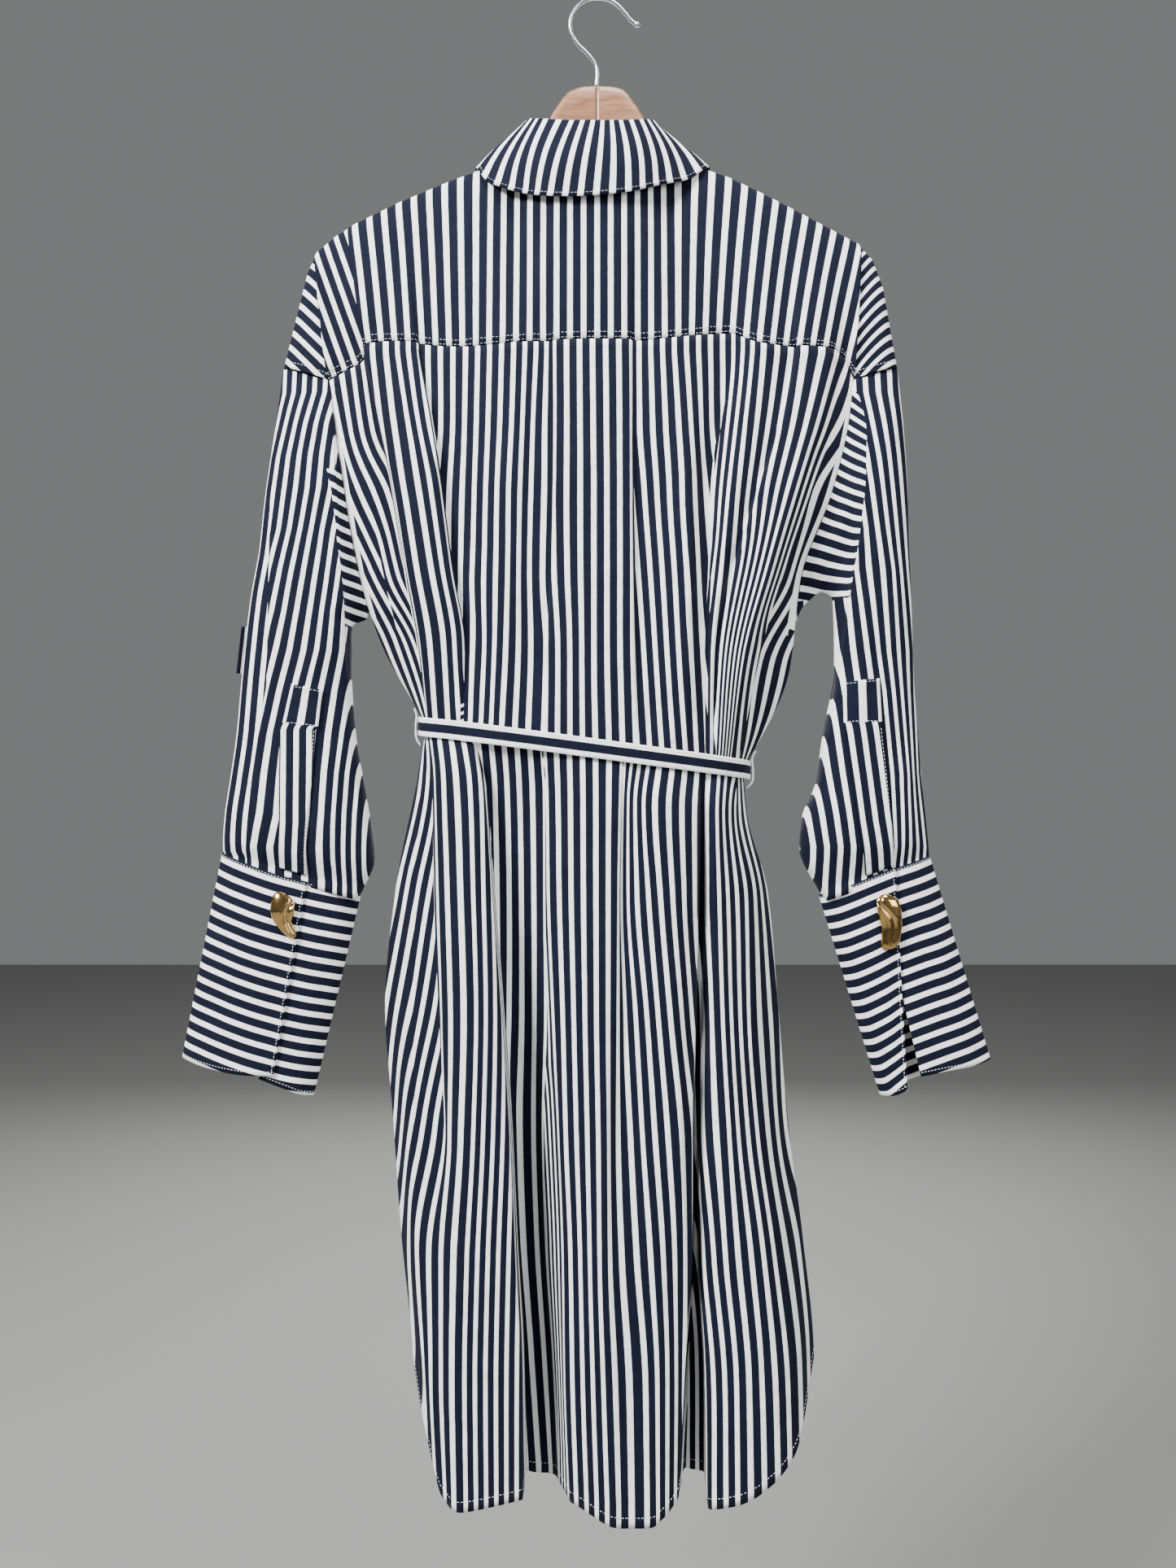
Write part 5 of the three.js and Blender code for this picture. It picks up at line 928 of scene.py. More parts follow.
along_collar = np.linspace(0, 1, 190)
roll, edge, seam = (centripetal(row, along_collar) for row in (COLLAR_ROLL, COLLAR_EDGE, COLLAR_SEAM))
down = np.linspace(0, 1, 26)[:, None, None]
fall = roll + (edge - roll) * down
fall = fall + from_neck(fall) * 3.5 * np.sin(np.pi * np.minimum(1, down * 1.05))
turn = np.radians([170, 140, 110, 80, 50, 25])[:, None, None]
lip = roll - from_neck(roll) * 0.8 + from_neck(roll) * 0.8 * np.cos(turn) + np.array([0, 0, 0.55]) * np.sin(turn)
fall = creased(np.concatenate([lip, fall]), COLLAR_CREASES, -1)
run = np.concatenate([[0], np.cumsum(np.linalg.norm(np.diff(fall[20], axis=0), axis=1))])
centre_run = np.interp(np.argmin(np.abs(fall[20, :, 0] + 3.4) + 100 * (fall[20, :, 1] > 0)), np.arange(len(run)), run)
number = np.broadcast_to((run - centre_run) / 11.3, fall.shape[:2])
sew("collar_turned_down", fall, with_down(fall, corners(number)), -1, ["collar_fall"],
    thick=1.1)
stand_top = roll - from_neck(roll) * 2.1 - (0, 0, 1)
stand = stand_top + (seam - stand_top) * np.linspace(0, 1, 14)[:, None, None]
run = np.concatenate([[0], np.cumsum(np.linalg.norm(np.diff(stand[6], axis=0), axis=1))])
number = np.broadcast_to(run / STRIPE, stand.shape[:2])
sew("collar_band", stand, with_down(stand, corners(number)), -1, ["collar_stand"],
    thick=1.1)
collar_line, collar_normal = inset(fall, "bottom", 2.6)
stitches("collar_stitching", [(collar_line, unit(from_neck(collar_line) + (0, 0, 0.4)))])

# Sleeves
# Long sleeves set into the low armholes, pressed flat down the outside, and pushed in under the arms in soft webs.
# At the wrist each has a placket box and band stitched on, and is sewn into its cuff in small pleats.
SLEEVES = {
    "left": {"armhole": (-253.8, -300.4), "rings": [
        ((-261, -352), (-212.6, -19, -352), (-203.5, -15, -417), (-191.5, -8, -475), (-187, -503), 19),
        ((-269.2, -409), (-207.8, -22, -404), (-204, -15, -440), (-194, -8, -484), (-191, -504.5), 22),
        ((-273.2, -446), (-204.8, -22, -446), (-203.4, -15, -465), (-197, -8, -493), (-195, -506), 23),
        ((-280.5, -487), (-201.6, -20, -491), (-201, -13, -496), (-199.2, -7, -504), (-198.4, -509), 23),
        ((-287.7, -550), (-201.5, -14, -550), (-200, -9, -550), (-199.2, -4, -550), (-199, -550), 22),
        ((-291.7, -595), (-198.5, -14, -597), (-196.6, -9, -597), (-195.6, -4, -597), (-195.2, -597), 22),
        ((-297, -632), (-193, -14, -638), (-190, -9, -638), (-188.6, -4, -638), (-188.2, -638), 23),
        ((-301.5, -662), (-187, -14, -670), (-184.6, -9, -670), (-183.4, -4, -670), (-183, -670), 24),
        ((-302.8, -680), (-183.5, -13, -696), (-181.4, -8, -697), (-180.6, -4, -697.5), (-180.4, -698), 22),
        ((-302.9, -690.5), (-192.5, -11, -720.5), (-190.6, -7, -721.5), (-189.8, -3, -722), (-189.6, -722.5), 14)]},
    "right": {"armhole": (244, -299.8), "rings": [
        ((249, -352), (215, -19, -357), (194, -14, -425), (173.5, -8, -467), (167, -493), 19),
        ((251.8, -400), (213, -22, -402), (198.5, -14, -437), (180, -8, -468), (174, -486), 22),
        ((252.8, -437), (208, -22, -443), (203, -14, -453), (188, -8, -470), (182, -480.5), 23),
        ((254.8, -480), (201.4, -21, -486), (199.5, -14, -486), (195, -8, -485.5), (191, -486), 23),
        ((257, -548), (195.5, -14, -548), (194, -9, -548), (193.2, -4, -548), (193, -548), 22),
        ((260.6, -597), (186.4, -14, -597), (184.8, -9, -597), (184, -4, -597), (183.8, -597), 22),
        ((264, -638), (181, -14, -636), (179, -9, -636), (178.2, -4, -636), (178, -636), 23),
        ((267, -665), (170, -14, -664), (168, -9, -664), (167.2, -4, -664), (167, -664), 24),
        ((268.6, -681), (167.8, -13, -687), (165.8, -8, -688), (165, -4, -688.5), (164.8, -689), 23),
        ((269.7, -692.2), (183.5, -11, -721.5), (181.6, -7, -722.5), (180.8, -3, -723), (180.6, -723.5), 14)]},
}
SLEEVE_ACROSS = np.array([0, 0.1, 0.28, 0.52, 0.78])
ARMHOLE_AT = np.array([0, 0.1, 0.22, 0.36, 0.5, 0.64])
SLEEVE_COLUMNS, SLEEVE_ROWS = 120, 132
# The end that is sewn inside the cuff: how far down, and its width and depth against the last ring
TUCK = [(1.5, 0.985, 1.04), (4, 0.965, 1.06), (8, 0.95, 1.05)]
# Where some stripes run: their numbers, then a row per height with their x
SLEEVE_STRIPES = {
    "left": ((0, 3, 6, 9), [
        (-322, -221.9, -196.6, -170.7, -144.7), (-348, -227.8, -202.5, -176.5, -150.6),
        (-374, -232.3, -205.1, -177.8, -150.6), (-400, -234.9, -206.4, -178.5, -150.6),
        (-433, -240.1, -213.5, -185.0, -156.4), (-465, -247.2, -218.0, -191.4, -161.0),
        (-498, -253.7, -222.6, -196.6, -165.5), (-530, -261.5, -227.1, -198.6, -169.4),
        (-562, -269.9, -235.5, -203.8, -172.0), (-595, -277.1, -243.3, -207.7, -182.4),
        (-627, -283.5, -245.9, -210.9, -187.5), (-660, -289.4, -247.2, -212.8, -189.5),
        (-686, -293.9, -253.7, -213.5, -190.1)]),
    "right": ((-5, 0, 2, 4, 6), [
        (-322, 124.5, 173.1, 192.6, 210.7, 230.8), (-374, 134.2, 182.2, 200.3, 219.8, 237.3),
        (-433, 140.7, 191.3, 209.4, 227.6, 243.2), (-465, 142.0, 193.2, 210.7, 232.8, 246.4),
        (-530, 147.2, 199.0, 219.8, 236.7, 253.5), (-562, 152.3, 202.9, 225.0, 240.6, 253.5),
        (-627, 158.8, 211.4, 231.5, 247.0, 256.1), (-686, 167.9, 219.2, 235.4, 247.7, 261.3)]),
}
OUTER_FOLD = ([-261.5, -262.1, -263.4, -272.5, -281.0], [-397, -478, -559, -601, -689])
# The web under each arm: its highest and lowest stripes, and how they slope down to the right from low to high
WEB = {"left": (-385, -510, (0.3, 0.45, 0.5)), "right": (-322, -488, (0.15, 0.55, 1.0))}
SLEEVE_CREASES = {
    "left": [(-238, -330, -222, -420, 1.2, 6.0), (-226, -420, -212, -500, -1.2, 6.0), (-250, -440, -232, -540, 1.1, 7.0),
             (-214, -520, -236, -570, 1.3, 6.0), (-212, -560, -226, -640, -1.1, 6.0), (-276, -560, -262, -660, 1.1, 6.0),
             (-204, -600, -210, -690, 1.2, 5.0), (-196, -640, -204, -706, -1.3, 4.0), (-214, -660, -218, -716, 1.3, 3.4),
             (-262, -640, -270, -698, 1.2, 4.0), (-284, -630, -290, -694, -1.2, 4.0), (-228, -352, -236, -440, -1.0, 6.0),
             (-209, -430, -203, -478, 1.2, 4.0), (-196, -470, -212, -508, 1.3, 4.0)],
    "right": [(234, -330, 222, -430, 1.2, 6.0), (222, -400, 210, -490, -1.2, 6.0), (240, -450, 236, -560, 1.1, 7.0),
              (206, -500, 222, -560, 1.2, 6.0), (196, -560, 206, -640, -1.1, 6.0), (250, -540, 252, -650, 1.1, 6.0),
              (184, -620, 196, -692, 1.3, 5.0), (174, -650, 192, -706, -1.3, 4.0), (202, -650, 208, -712, 1.3, 3.4),
              (244, -640, 248, -700, 1.2, 4.0), (258, -630, 260, -694, -1.1, 4.0), (226, -520, 212, -600, -1.0, 6.0),
              (214, -440, 196, -470, 1.3, 4.0), (190, -452, 176, -480, -1.2, 4.0), (204, -400, 190, -452, 1.2, 5.0)],
}
PLACKETS = {
    "left": [((-242.2, -556.7), (-217.6, -561.2)), ((-249.3, -587), (-220.9, -590.4)), ((-251.9, -592), (-222.8, -592)),
             ((-251.9, -596), (-223.2, -596.6)), ((-252, -634.6), (-226, -636)), ((-252, -665.5), (-229.2, -667)),
             ((-253.5, -686.7), (-231, -689.6)), ((-254.4, -702.8), (-232.1, -709))],
    "right": [((196.2, -554.8), (224.5, -552.2)), ((196.4, -587), (226.5, -586.3)), ((197.2, -589), (226.7, -588.4)),
              ((198.5, -597), (227.5, -597)), ((203.8, -636.5), (232, -637.2)), ((207.5, -664.4), (234, -664.7)),
              ((211, -684.5), (235.6, -683)), ((214.8, -709.5), (237.6, -702))],
}


def flank(f):
    return np.sqrt(1 - (1 - f) ** 3)


def sleeve_grid(side):
    """Rings of a sleeve, its last column on its first.

    Each ring is a closed smooth run: a flat back rounded at the outer edge, a fold, two points of the web and the
    point under the arm, and the same in front. Down the sleeve the rings pass into each other without a kink.
    """
    sign, u = (-1, 0.0) if side == "left" else (1, 1.0)
    armhole = SLEEVES[side]["armhole"]
    top = seam_top(np.array([u])) - SEAM / 2
    hole = back_points(np.full(6, u), top + (BELT_HEIGHT - top) * ARMHOLE_AT) + (sign * 0.5, 0, 0)
    hole[0] += (sign * 0.2, 0, -0.4)
    hole[5, 1] = -0.2
    f = SLEEVE_ACROSS
    flat = np.stack([armhole[0] + (hole[0, 0] - armhole[0]) * f, -10 * flank(f),
                     armhole[1] + (hole[0, 2] - armhole[1]) * f], -1)
    halves = [np.concatenate([flat, hole])]
    for outer, fold, web, low_web, under, deep in SLEEVES[side]["rings"]:
        flat = np.stack([outer[0] + (fold[0] - outer[0]) * f, -deep * flank(f), outer[1] + (fold[2] - outer[1]) * f], -1)
        turn = centripetal([fold, web, low_web, (under[0], 0, under[1])], np.linspace(0, 1, 6))
        halves.append(np.concatenate([flat, turn]))
    half = np.stack(halves)
    half[:, -1, 1] = 0
    ring = np.concatenate([half, half[:, -2:0:-1] * (1, -1, 1)], 1)
    length = np.concatenate([[0], np.cumsum(np.linalg.norm(np.diff(half[:, 0], axis=0), axis=1)
                                            + np.linalg.norm(np.diff(half[:, 5], axis=0), axis=1))])
    round_it = centripetal(ring.transpose(1, 0, 2), np.linspace(0, 1, SLEEVE_COLUMNS + 1), closed=True)
    grid = smooth(length, round_it.transpose(1, 0, 2), np.linspace(0, length[-1], SLEEVE_ROWS))
    middle, way = grid[-1].mean(0), unit(grid[-1].mean(0) - grid[-9].mean(0))
    tuck = [middle + (grid[-1] - middle) * (wide, deep, 1) + way * far for far, wide, deep in TUCK]
    return np.concatenate([grid, tuck])


def drawn_stripes(table, x, z):
    """Stripe numbers from some stripes' places: even steps between two of them at each height, and beyond them."""
    numbers, rows = table
    rows = np.array(rows[::-1])
    at = [np.interp(z, rows[:, 0], rows[:, k + 1]) for k in range(len(numbers))]
    found = None
    for k in range(len(numbers) - 1):
        part = numbers[k] + (x - at[k]) / (at[k + 1] - at[k]) * (numbers[k + 1] - numbers[k])
        found = part if found is None else np.where(x > at[k], part, found)
    return found


def lie_on(under, x, z, away):
    """Points at x and z over a grid that faces the back: y is the weighted mean of its eight nearest, less away."""
    spots = under.reshape(-1, 3)
    flat = np.stack([x, z], -1).reshape(-1, 2)
    gap = ((flat[:, None] - spots[None, :, ::2]) ** 2).sum(-1)
    near = np.argpartition(gap, 8, axis=1)[:, :8]
    weight = 1 / (np.take_along_axis(gap, near, 1) + 1.0)
    y = (spots[near, 1] * weight).sum(1) / weight.sum(1) - away
    return np.stack([x, y.reshape(x.shape), z], -1)


fold_column, under_column = SLEEVE_COLUMNS // 4, SLEEVE_COLUMNS // 2
for side in ("left", "right"):
    grid = sleeve_grid(side)
    bands = []
    if side == "left":
        top_row = int((grid[:, 0, 2] > -400).sum())
        grid, bands = follow(grid, [(*OUTER_FOLD, 1, fold_column, 0)])
    x, z = grid[..., 0], grid[..., 2]
    number = corners(drawn_stripes(SLEEVE_STRIPES[side], x, z))
    column = np.arange(SLEEVE_COLUMNS)[None, :, None]
    if bands:
        outer_x = np.interp(z, grid[::-1, 0, 2], grid[::-1, 0, 0])
        beside = corners((x - outer_x - 5.2) / 10.4)
        row = np.arange(len(grid) - 1)[:, None, None]
        number = np.where((column < bands[0]) & (row > top_row), beside, number)
        number = np.where((column >= SLEEVE_COLUMNS - bands[0]) & (row > top_row), beside, number)
    in_web = (column >= fold_column) & (column < SLEEVE_COLUMNS - fold_column)
    highest, lowest, slants = WEB[side]
    beside = x + (205 if side == "left" else -200)
    middle_z = corners(z).mean(-1, keepdims=True)
    number = np.where(in_web & (middle_z < highest) & (middle_z > lowest),
                      corners((z + beside * np.interp(z, (-480, -400, -330), slants)) / 10.4), number)
    flat_grid = grid
    if bands:
        fade = np.clip((np.arange(len(grid)) - top_row) / 14, 0, 1)
        back_half = lapped(grid[:, :fold_column + 1], bands[0], 1, 1.8, 9, -1, fade)
        grid = np.concatenate([back_half, grid[:, fold_column + 1:]], 1)
    grid = creased(grid, SLEEVE_CREASES[side], np.clip(grid[..., 1] / 9, -1, 1))
    sew("sleeve_%s_body" % side, grid[:, :-1], with_down(flat_grid, number), -1 if side == "left" else 1,
        ["sleeve_" + side], around=True)
    half = grid[:, :under_column]
    (left_low, right_low) = zip(*PLACKETS[side])
    left_low, right_low = np.array(left_low, float), np.array(right_low, float)
    at = np.concatenate([np.linspace(0, 1, 12), np.linspace(1.08, 2.92, 4), np.linspace(3, 7, 44)])
    left_edge, right_edge = (np.stack([np.interp(at, np.arange(8), run[:, k]) for k in (0, 1)], -1)
                             for run in (left_low, right_low))
    f = np.linspace(0, 1, 16)[None, :, None]
    spots = left_edge[:, None] + (right_edge - left_edge)[:, None] * f
    box = lie_on(half, spots[..., 0], spots[..., 1], 2.0)
    wide = np.linalg.norm(right_edge - left_edge, axis=1)[:, None]
    share = np.linspace(0, 1, 16)[None]
    in_box = at[:, None] < 1.04
    number = np.where(in_box, (share - 0.24) / 0.52, (share * wide - 8.4) / 10.4)
    sew("placket_band_" + side, box, with_down(box, corners(number)), -1, ["placket_" + side])
    top_box, band = box[:13], box[14:]
    stitches("sleeve_stitching_" + side, [
        inset(top_box, "top", 1.6, (0, -1, 0)), inset(top_box, "bottom", 0.8, (0, -1, 0)),
        inset(top_box, "left", 1.6, (0, -1, 0)), inset(top_box, "right", 1.6, (0, -1, 0)),
        inset(band, "left", 1.2, (0, -1, 0)), inset(band, "right", 1.2, (0, -1, 0))])

# Tab of the left sleeve
# A short doubled strip sewn inside the left sleeve, whose folded edge stands out beside it. It buttons a rolled sleeve.
TAB_RUN = [(-290.5, 1.5), (-287.6, 6.5), (-283, 11), (-276, 14.2), (-266, 18)]
TAB_ENDS = (-508, -546)
tab_down = np.linspace(TAB_ENDS[0], TAB_ENDS[1], 18)
tab_run = centripetal([(x, y, 0) for x, y in TAB_RUN], np.linspace(0, 1, 22))
tab = tab_run[None] + np.stack([0.11 * (tab_down + 527), 0 * tab_down, tab_down], -1)[:, None]
number = np.broadcast_to(np.linspace(-0.15, 2.85, 22), tab.shape[:2])
sew("tab_left", tab, with_down(tab, corners(number)), 1, ["sleeve_tab_left"])

# Cuffs
# Deep doubled cuffs, cut as strips with the stripes running round, wrapped so that one end laps the other behind.
# Each closes with one large bean-shaped gilt button near its top.
CUFFS = {
    "left": [((-231.5, -17, -714.5), (-258, -18, -869)), ((-262, -17.5, -706), (-285, -18.5, -868)),
             ((-292, -11, -695.5), (-318, -12, -862)), ((-303.4, 0, -691.2), (-335.9, 0, -856.8)),
             ((-292, 11, -694.5), (-320, 12, -861)), ((-246, 16, -707.5), (-283, 17, -872)),
             ((-202, 11, -720.5), (-243, 12, -884)), ((-190.7, 0, -724.1), (-229, 0, -887.8)),
             ((-202, -10, -721), (-238, -10.5, -885.5)), ((-222, -14.2, -716.5), (-250, -14.6, -880)),
             ((-246, -15, -710.5), (-270, -15.4, -872))],
    "right": [((238.5, -17, -702.5), (247.5, -19, -880)), ((217, -17, -711), (240, -17.5, -884)),
              ((190, -10, -722.5), (233.5, -9, -887)), ((180.1, 0, -725.6), (229.7, 0, -887.8)),
              ((190, 11, -722.5), (240, 12, -884.5)), ((226, 16, -710), (276, 17, -873)),
              ((258, 11, -698.5), (309, 12, -862)), ((270, 0, -693.6), (319.5, 0, -858.7)),
              ((258, -10, -697.5), (305, -10, -862)), ((236, -14.2, -704.5), (280, -14.5, -866)),
              ((222, -15, -710), (259.5, -15.5, -870))],
}
CUFF_CREASES = {
    "left": [(-272, -720, -286, -800, 0.9, 8.0), (-214, -760, -226, -850, -0.9, 8.0), (-300, -760, -308, -840, -0.8, 8.0),
             (-246, -780, -254, -860, 0.7, 5.0), (-290, -700, -294, -740, 0.6, 4.0)],
    "right": [(214, -730, 226, -800, 0.9, 6.0), (238, -760, 244, -860, -1.4, 6.0), (270, -740, 288, -830, 0.9, 8.0),
              (226, -780, 238, -860, 1.0, 6.0), (256, -720, 262, -780, -0.7, 5.0)],
}
# Middle of each gilt button, its width and length, then its outline from the bottom up: place along it, half width,
# sideways bend and where the ridge runs, all as shares of its size
GILT_BUTTONS = {
    "left": (-248.7, -18.2, -740, 20.6, 37.3, [
        (-0.5, 0.03, 0.3, 0.34), (-0.49, 0.08, 0.295, 0.32), (-0.465, 0.16, 0.285, 0.3), (-0.37, 0.26, 0.18, 0.22),
        (-0.25, 0.31, 0.05, 0.1), (-0.14, 0.35, -0.055, 0.03), (-0.02, 0.43, -0.07, 0), (0.1, 0.48, -0.06, 0.03),
        (0.22, 0.47, -0.055, 0.18), (0.33, 0.39, -0.09, 0.28), (0.43, 0.26, -0.14, 0.1), (0.485, 0.12, -0.155, -0.1),
        (0.5, 0.03, -0.16, -0.16)]),
    "right": (231.7, -17.9, -746, 20.6, 44.7, [
        (-0.5, 0.03, -0.06, -0.06), (-0.49, 0.12, -0.03, -0.04), (-0.44, 0.29, 0.03, -0.02), (-0.345, 0.36, 0.1, 0.02),
        (-0.225, 0.38, 0.13, 0.06), (-0.11, 0.4, 0.145, 0.09), (0.03, 0.435, 0.115, 0.05), (0.145, 0.47, 0.075, -0.12),
        (0.265, 0.47, 0.04, -0.36), (0.365, 0.435, 0, -0.5), (0.44, 0.31, -0.035, -0.5), (0.49, 0.14, -0.075, -0.4),
        (0.5, 0.03, -0.085, -0.3)]),
}
gilt, start, put = finish("polished gilt", Metallic=1.0)
rubbed = start.node("TexNoise", Vector=start.node("TexCoord", out=3), Scale=90.0, Detail=3.0, Distortion=1.5)
put(Base_Color=rubbed.mix((0.34, 0.19, 0.06, 1), (0.74, 0.50, 0.20, 1)), Roughness=rubbed * 0.1 + 0.08)


def bean_button(name, x, y, z, wide, long, outline):
    """Dome on the outline of a bean, with a twisted ridge that runs down it as a long S and a hollow beside it."""
    up, half, bend, ridge = (np.array(column) for column in zip(*outline))
    place = 0.5 * np.sin(np.linspace(-np.pi / 2, np.pi / 2, 72))
    half, bend, ridge = (smooth(up, values, place)[:, None] for values in (half, bend, ridge))
    turn = np.linspace(0, 2 * np.pi, 60, endpoint=False)[None]
    over = np.cos(turn) * half + bend
    beside = over - ridge
    swirl = 1.0 * np.exp(-(beside / 0.05) ** 2) - 1.7 * np.exp(-((beside - 0.13) / 0.09) ** 2)
    top = np.maximum(0, np.sin(turn))
    deep = 1.2 + top ** 0.8 * half * 11 + swirl * np.minimum(1, top * 1.6) * np.minimum(1, half * 3)
    deep = np.where(np.sin(turn) < 0, np.maximum(0, 1.2 * (1 + 1.6 * np.sin(turn))), deep)
    rows = place[:, None] * long
    grid = np.stack([x + over * wide, y - deep, z + rows + 0 * deep], -1)
    made = shape(name, grid, around=True, caps=True)
    return fasten(made, "gilt_button", gilt, "cuff_" + name.removeprefix("gilt_"))


for side in ("left", "right"):
    top, hem = (centripetal([row[k] for row in CUFFS[side]], np.linspace(0, 1, 170)) for k in (0, 1))
    cuff = top + (hem - top) * np.linspace(0, 1, 62)[:, None, None]
    plain_cuff = cuff
    cuff = creased(cuff, CUFF_CREASES[side], np.clip(cuff[..., 1] / 9, -1, 1))
    down = np.linalg.norm(hem - top, axis=1)[None] * np.linspace(0, 1, 62)[:, None]
    run = np.concatenate([[0], np.cumsum(np.linalg.norm(np.diff(plain_cuff[30], axis=0), axis=1))]) / STRIPE
    uv = np.stack([corners(down / 10.9 + 0.05), corners(np.broadcast_to(run, down.shape))], -1)
    sew("cuff_%s_body" % side, cuff, uv, 1, ["cuff_" + side],
        thick=1.1)
    stitches("cuff_stitching_" + side, [inset(cuff, "top", 1.6), inset(cuff, "bottom", 3.2),
                                        inset(cuff, "left", 2.0, (0, -1, 0))], pitch=2.7, long=1.7, fat=0.22)
    bean_button("gilt_button_" + side, *GILT_BUTTONS[side])

# Belt
# A narrow doubled belt of the striped cotton, with a navy stripe down its middle, pulled in over the waist.
# It is tied in front in one knot with both ends hanging, and goes through a thread loop at each side seam.
BELT_HIGH, BELT_THICK, BELT_OUT = 15.0, 1.4, 4.6
BELT_STEPS = 120
LOOP_HALF = 15
KNOT = [(-13, 3.5), (-10, 7), (-4, 8.5), (4, 8.5), (10, 7), (13, 3.5)]
KNOT_X = -8
BELT_ENDS = {"left": (-16, -12, -905), "right": (0, 14, -935)}
BELT_PUCKERS = [(0.432, 1.3, 0.010), (0.447, -0.9, 0.008), (0.66, 0.7, 0.012), (0.27, -0.6, 0.012), (0.82, 0.7, 0.01)]


def flat_band(middle, outward, upward, high, thick):
    """Sections of a flat band with rounded edges, on both sides of a middle line."""
    turn = np.linspace(0, 2 * np.pi, 20, endpoint=False)
    up = np.sign(np.sin(turn)) * np.abs(np.sin(turn)) ** 0.3 * high / 2
    out = np.sign(np.cos(turn)) * np.abs(np.cos(turn)) ** 0.6 * thick / 2
    points = middle[:, None] + outward[:, None] * out[None, :, None] + upward[:, None] * up[None, :, None]
    return points, np.broadcast_to(up, points.shape[:2])


half_turn = 0.5 - 0.5 * np.cos(np.pi * np.arange(BELT_STEPS + 1) / BELT_STEPS)
waist = np.concatenate([back_points(half_turn, BELT_HEIGHT), front_points(half_turn[-2:0:-1], BELT_HEIGHT)])
ahead, behind_it = np.roll(waist, -2, axis=0), np.roll(waist, 2, axis=0)
away = unit(np.stack([ahead[:, 1] - behind_it[:, 1], behind_it[:, 0] - ahead[:, 0], 0 * waist[:, 0]], -1))
middle = waist + away * (BELT_OUT + BELT_THICK / 2)
share = np.arange(len(waist)) / len(waist)
pucker = sum(height * np.exp(-((share * 2 - at) / width) ** 2) for at, height, width in BELT_PUCKERS)
belt, up = flat_band(middle, away, np.tile([0.0, 0.0, 1.0], (len(waist), 1)), BELT_HIGH, BELT_THICK)
belt = belt + away[:, None] * (pucker[:, None, None] * np.cos(up / 4)[..., None])
up, across = np.concatenate([up, up[:, :1]], 1), np.broadcast_to(np.arange(len(waist) + 1)[:, None] / 4, (len(waist) + 1, 21))
up = np.concatenate([up, up[:1]])
made = shape("tied_belt", belt, np.stack([corners(up / 11.5), corners(across)], -1), around=True, along=True)
fasten(made, "striped_cotton", cotton, "belt")

place = np.linspace(-1, 1, 40)
along, half = zip(*KNOT)
half = smooth(np.array(along) / 13, half, place)[:, None]
turn = np.linspace(0, 2 * np.pi, 36, endpoint=False)[None]
wrap = 0.6 * np.sin(turn * 2 + place[:, None] * 5.0) + 0.35 * np.sin(turn * 3 - place[:, None] * 8.0)
face_y = front_points(0.5, BELT_HEIGHT)[1] + BELT_OUT + BELT_THICK + 0.5
reach = half + wrap * np.minimum(1, half / 6)
knot = np.stack([KNOT_X + 13 * place[:, None] + 0 * turn, face_y + 0.62 * (8.5 + reach * np.cos(turn)),
                 -608 + 1.1 * reach * np.sin(turn)], -1)
number = (turn * 8 / STRIPE + place[:, None] * 0.9)
number, across = np.concatenate([number, number[:, :1] + 16 * np.pi / STRIPE], 1), np.broadcast_to(place[:, None], (40, 37))
made = shape("tied_knot", knot, np.stack([corners(number), corners(across)], -1), around=True, caps=True)
fasten(made, "striped_cotton", cotton, "belt_knot")
belt_lines = []
for side, (x, slant, low) in BELT_ENDS.items():
    t = np.linspace(0, 1, 80)
    z = -617.25 + (low + 617.25) * t
    sway = 1.6 * np.sin(2.4 * np.pi * t + (0.6 if side == "left" else 2.0)) * np.minimum(1, 4 * t)
    centre = np.stack([x + slant * t, front_points(0.5, z)[:, 1] + 11.1 + BELT_THICK / 2 + sway * 0.5 + 0.4, z], -1)
    lean = 0.22 * np.sin(1.7 * np.pi * t + (0 if side == "left" else 1.2)) * np.minimum(1, 3 * t)
    over = np.stack([np.cos(lean), np.sin(lean), 0 * t], -1)
    outward = np.stack([-np.sin(lean), np.cos(lean), 0 * t], -1)
    end, wide = flat_band(centre, outward, over, BELT_HIGH, BELT_THICK)
    wide = np.concatenate([wide, wide[:, :1]], 1)
    down = np.broadcast_to(t[:, None] * 28, wide.shape)
    made = shape("hanging_end_" + side, end, np.stack([corners(wide / 11.5), corners(down)], -1), around=True, caps=True)
    fasten(made, "striped_cotton", cotton, "belt_end_" + side)
    for edge in (-5.8, 5.8):
        belt_lines.append((centre + over * edge + outward * BELT_THICK / 2, outward))
back_part = slice(2, BELT_STEPS - 1)
for edge in (-5.8, 5.8):
    line = middle + away * (BELT_THICK / 2 + pucker[:, None] * math.cos(edge / 4)) + (0, 0, edge)
    belt_lines += [(line[back_part], away[back_part]), (line[BELT_STEPS + 2:], away[BELT_STEPS + 2:])]
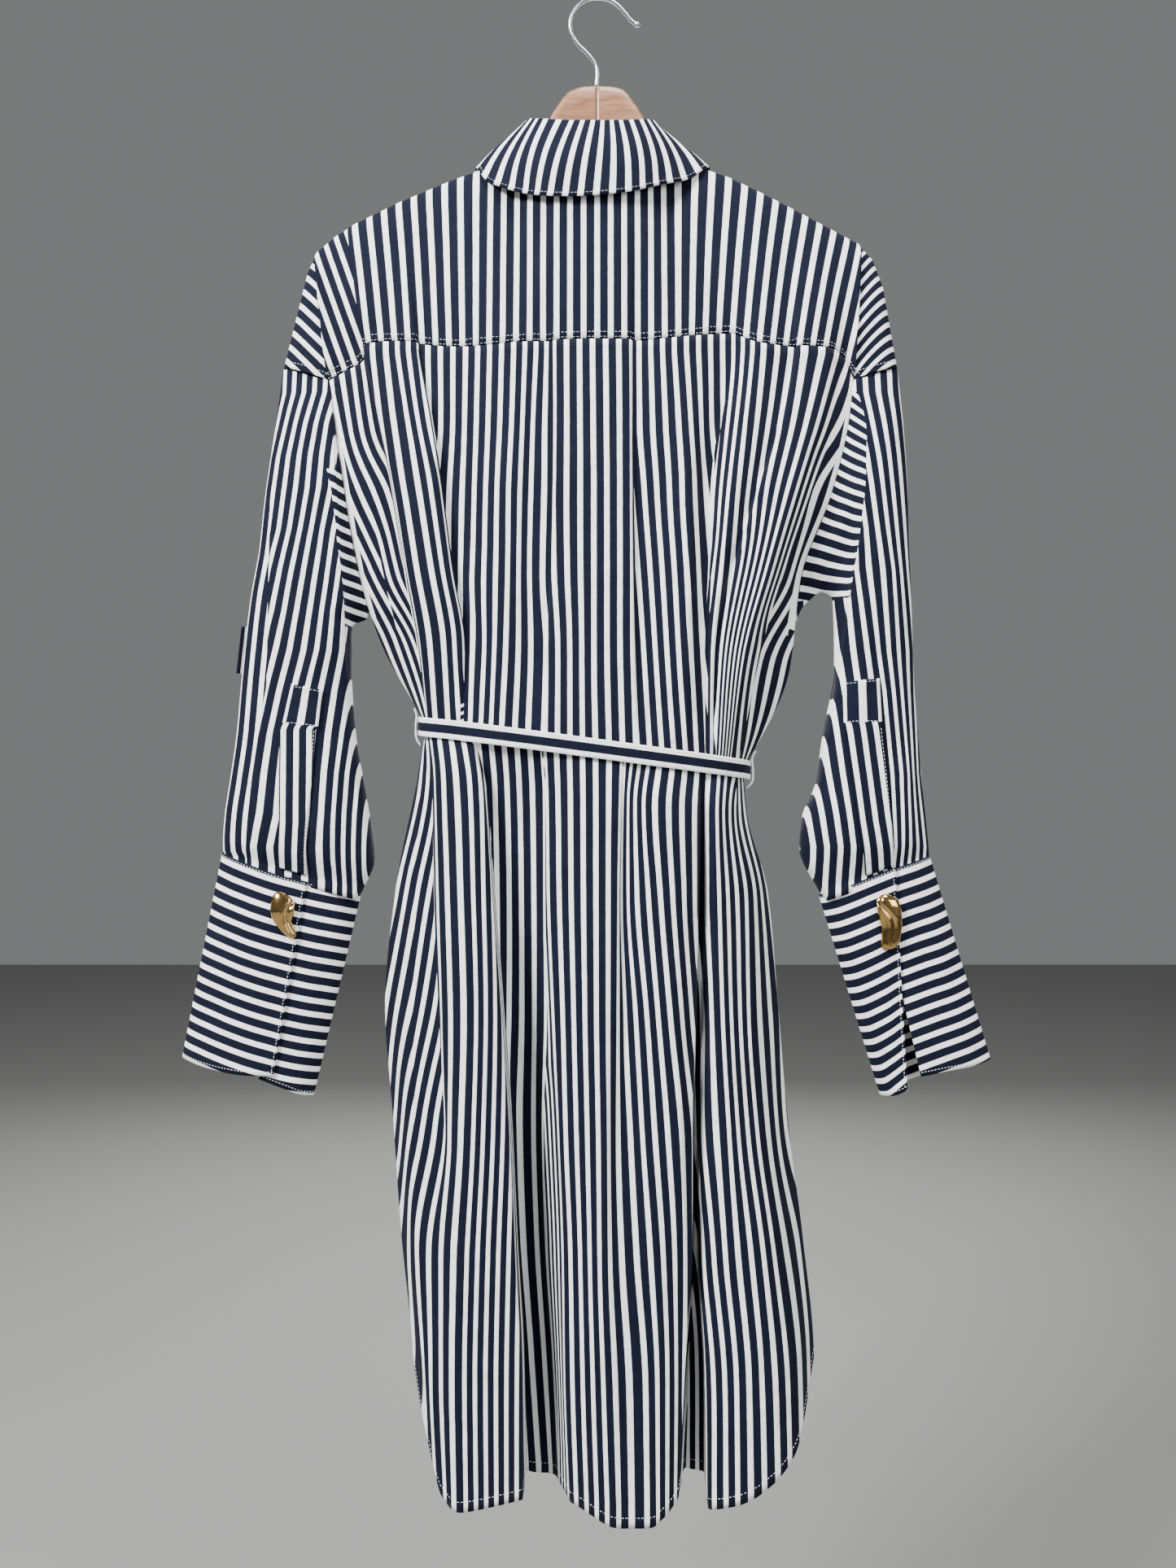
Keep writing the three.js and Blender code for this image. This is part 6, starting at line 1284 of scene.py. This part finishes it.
stitches("belt_stitching", belt_lines, pitch=3.2, long=2.2, fat=0.22)
for side, u, way in (("left", 0.0, -1), ("right", 1.0, 1)):
    seam = back_points(u, BELT_HEIGHT + LOOP_HALF * np.array([1, 0, -1]))
    high, out = seam[1, 2], seam[1, 0] + way * (BELT_OUT + BELT_THICK + 1.4)
    run = centripetal([(seam[0, 0] + way * 1.7, 0, seam[0, 2]), (out, 0, high + 9.5), (out + way * 0.6, 0, high),
                       (out, 0, high - 9.5), (seam[2, 0] + way * 1.7, 0, seam[2, 2])], np.linspace(0, 1, 33))
    made = shape("thread_loop_" + side, upright_tube(run, np.full(len(run), 0.85), 10), around=True, caps=True)
    fasten(made, "thread", thread, "belt_loop_" + side)

# Floor and light
# A plain pale floor and soft studio light from above, both sides and behind the camera.
FLOOR = -1.62
floor_mesh = bpy.data.meshes.new("floor")
floor_mesh.from_pydata([(-6, -6, FLOOR), (6, -6, FLOOR), (6, 6, FLOOR), (-6, 6, FLOOR)], [], [(0, 1, 2, 3)])
floor = bpy.data.objects.new("floor", floor_mesh)
bpy.context.collection.objects.link(floor)
pale, start, put = finish("pale floor", Base_Color=(0.2, 0.198, 0.195, 1), Roughness=0.9)
floor_mesh.materials.append(pale)
LIGHTS = [("key", (-1.9, -1.8, 1.2), 0.9, 300), ("fill", (1.7, -1.9, 0.3), 1.6, 62), ("front", (0, 2.4, 0.4), 2.2, 100),
          ("top", (0.2, -0.7, 1.3), 0.8, 50)]
for name, spot, size, power in LIGHTS:
    lamp = bpy.data.lights.new(name, "AREA")
    lamp.size, lamp.energy = size, power
    light = bpy.data.objects.new(name, lamp)
    light.location = spot
    light.rotation_euler = (Vector((0, 0, -0.62)) - light.location).to_track_quat("-Z", "Y").to_euler()
    bpy.context.collection.objects.link(light)
sky = bpy.data.worlds.new("studio")
sky.use_nodes = True
sky.node_tree.nodes["Background"].inputs["Color"].default_value = (0.86, 0.87, 0.88, 1)
sky.node_tree.nodes["Background"].inputs["Strength"].default_value = 0.22
bpy.context.scene.world = sky
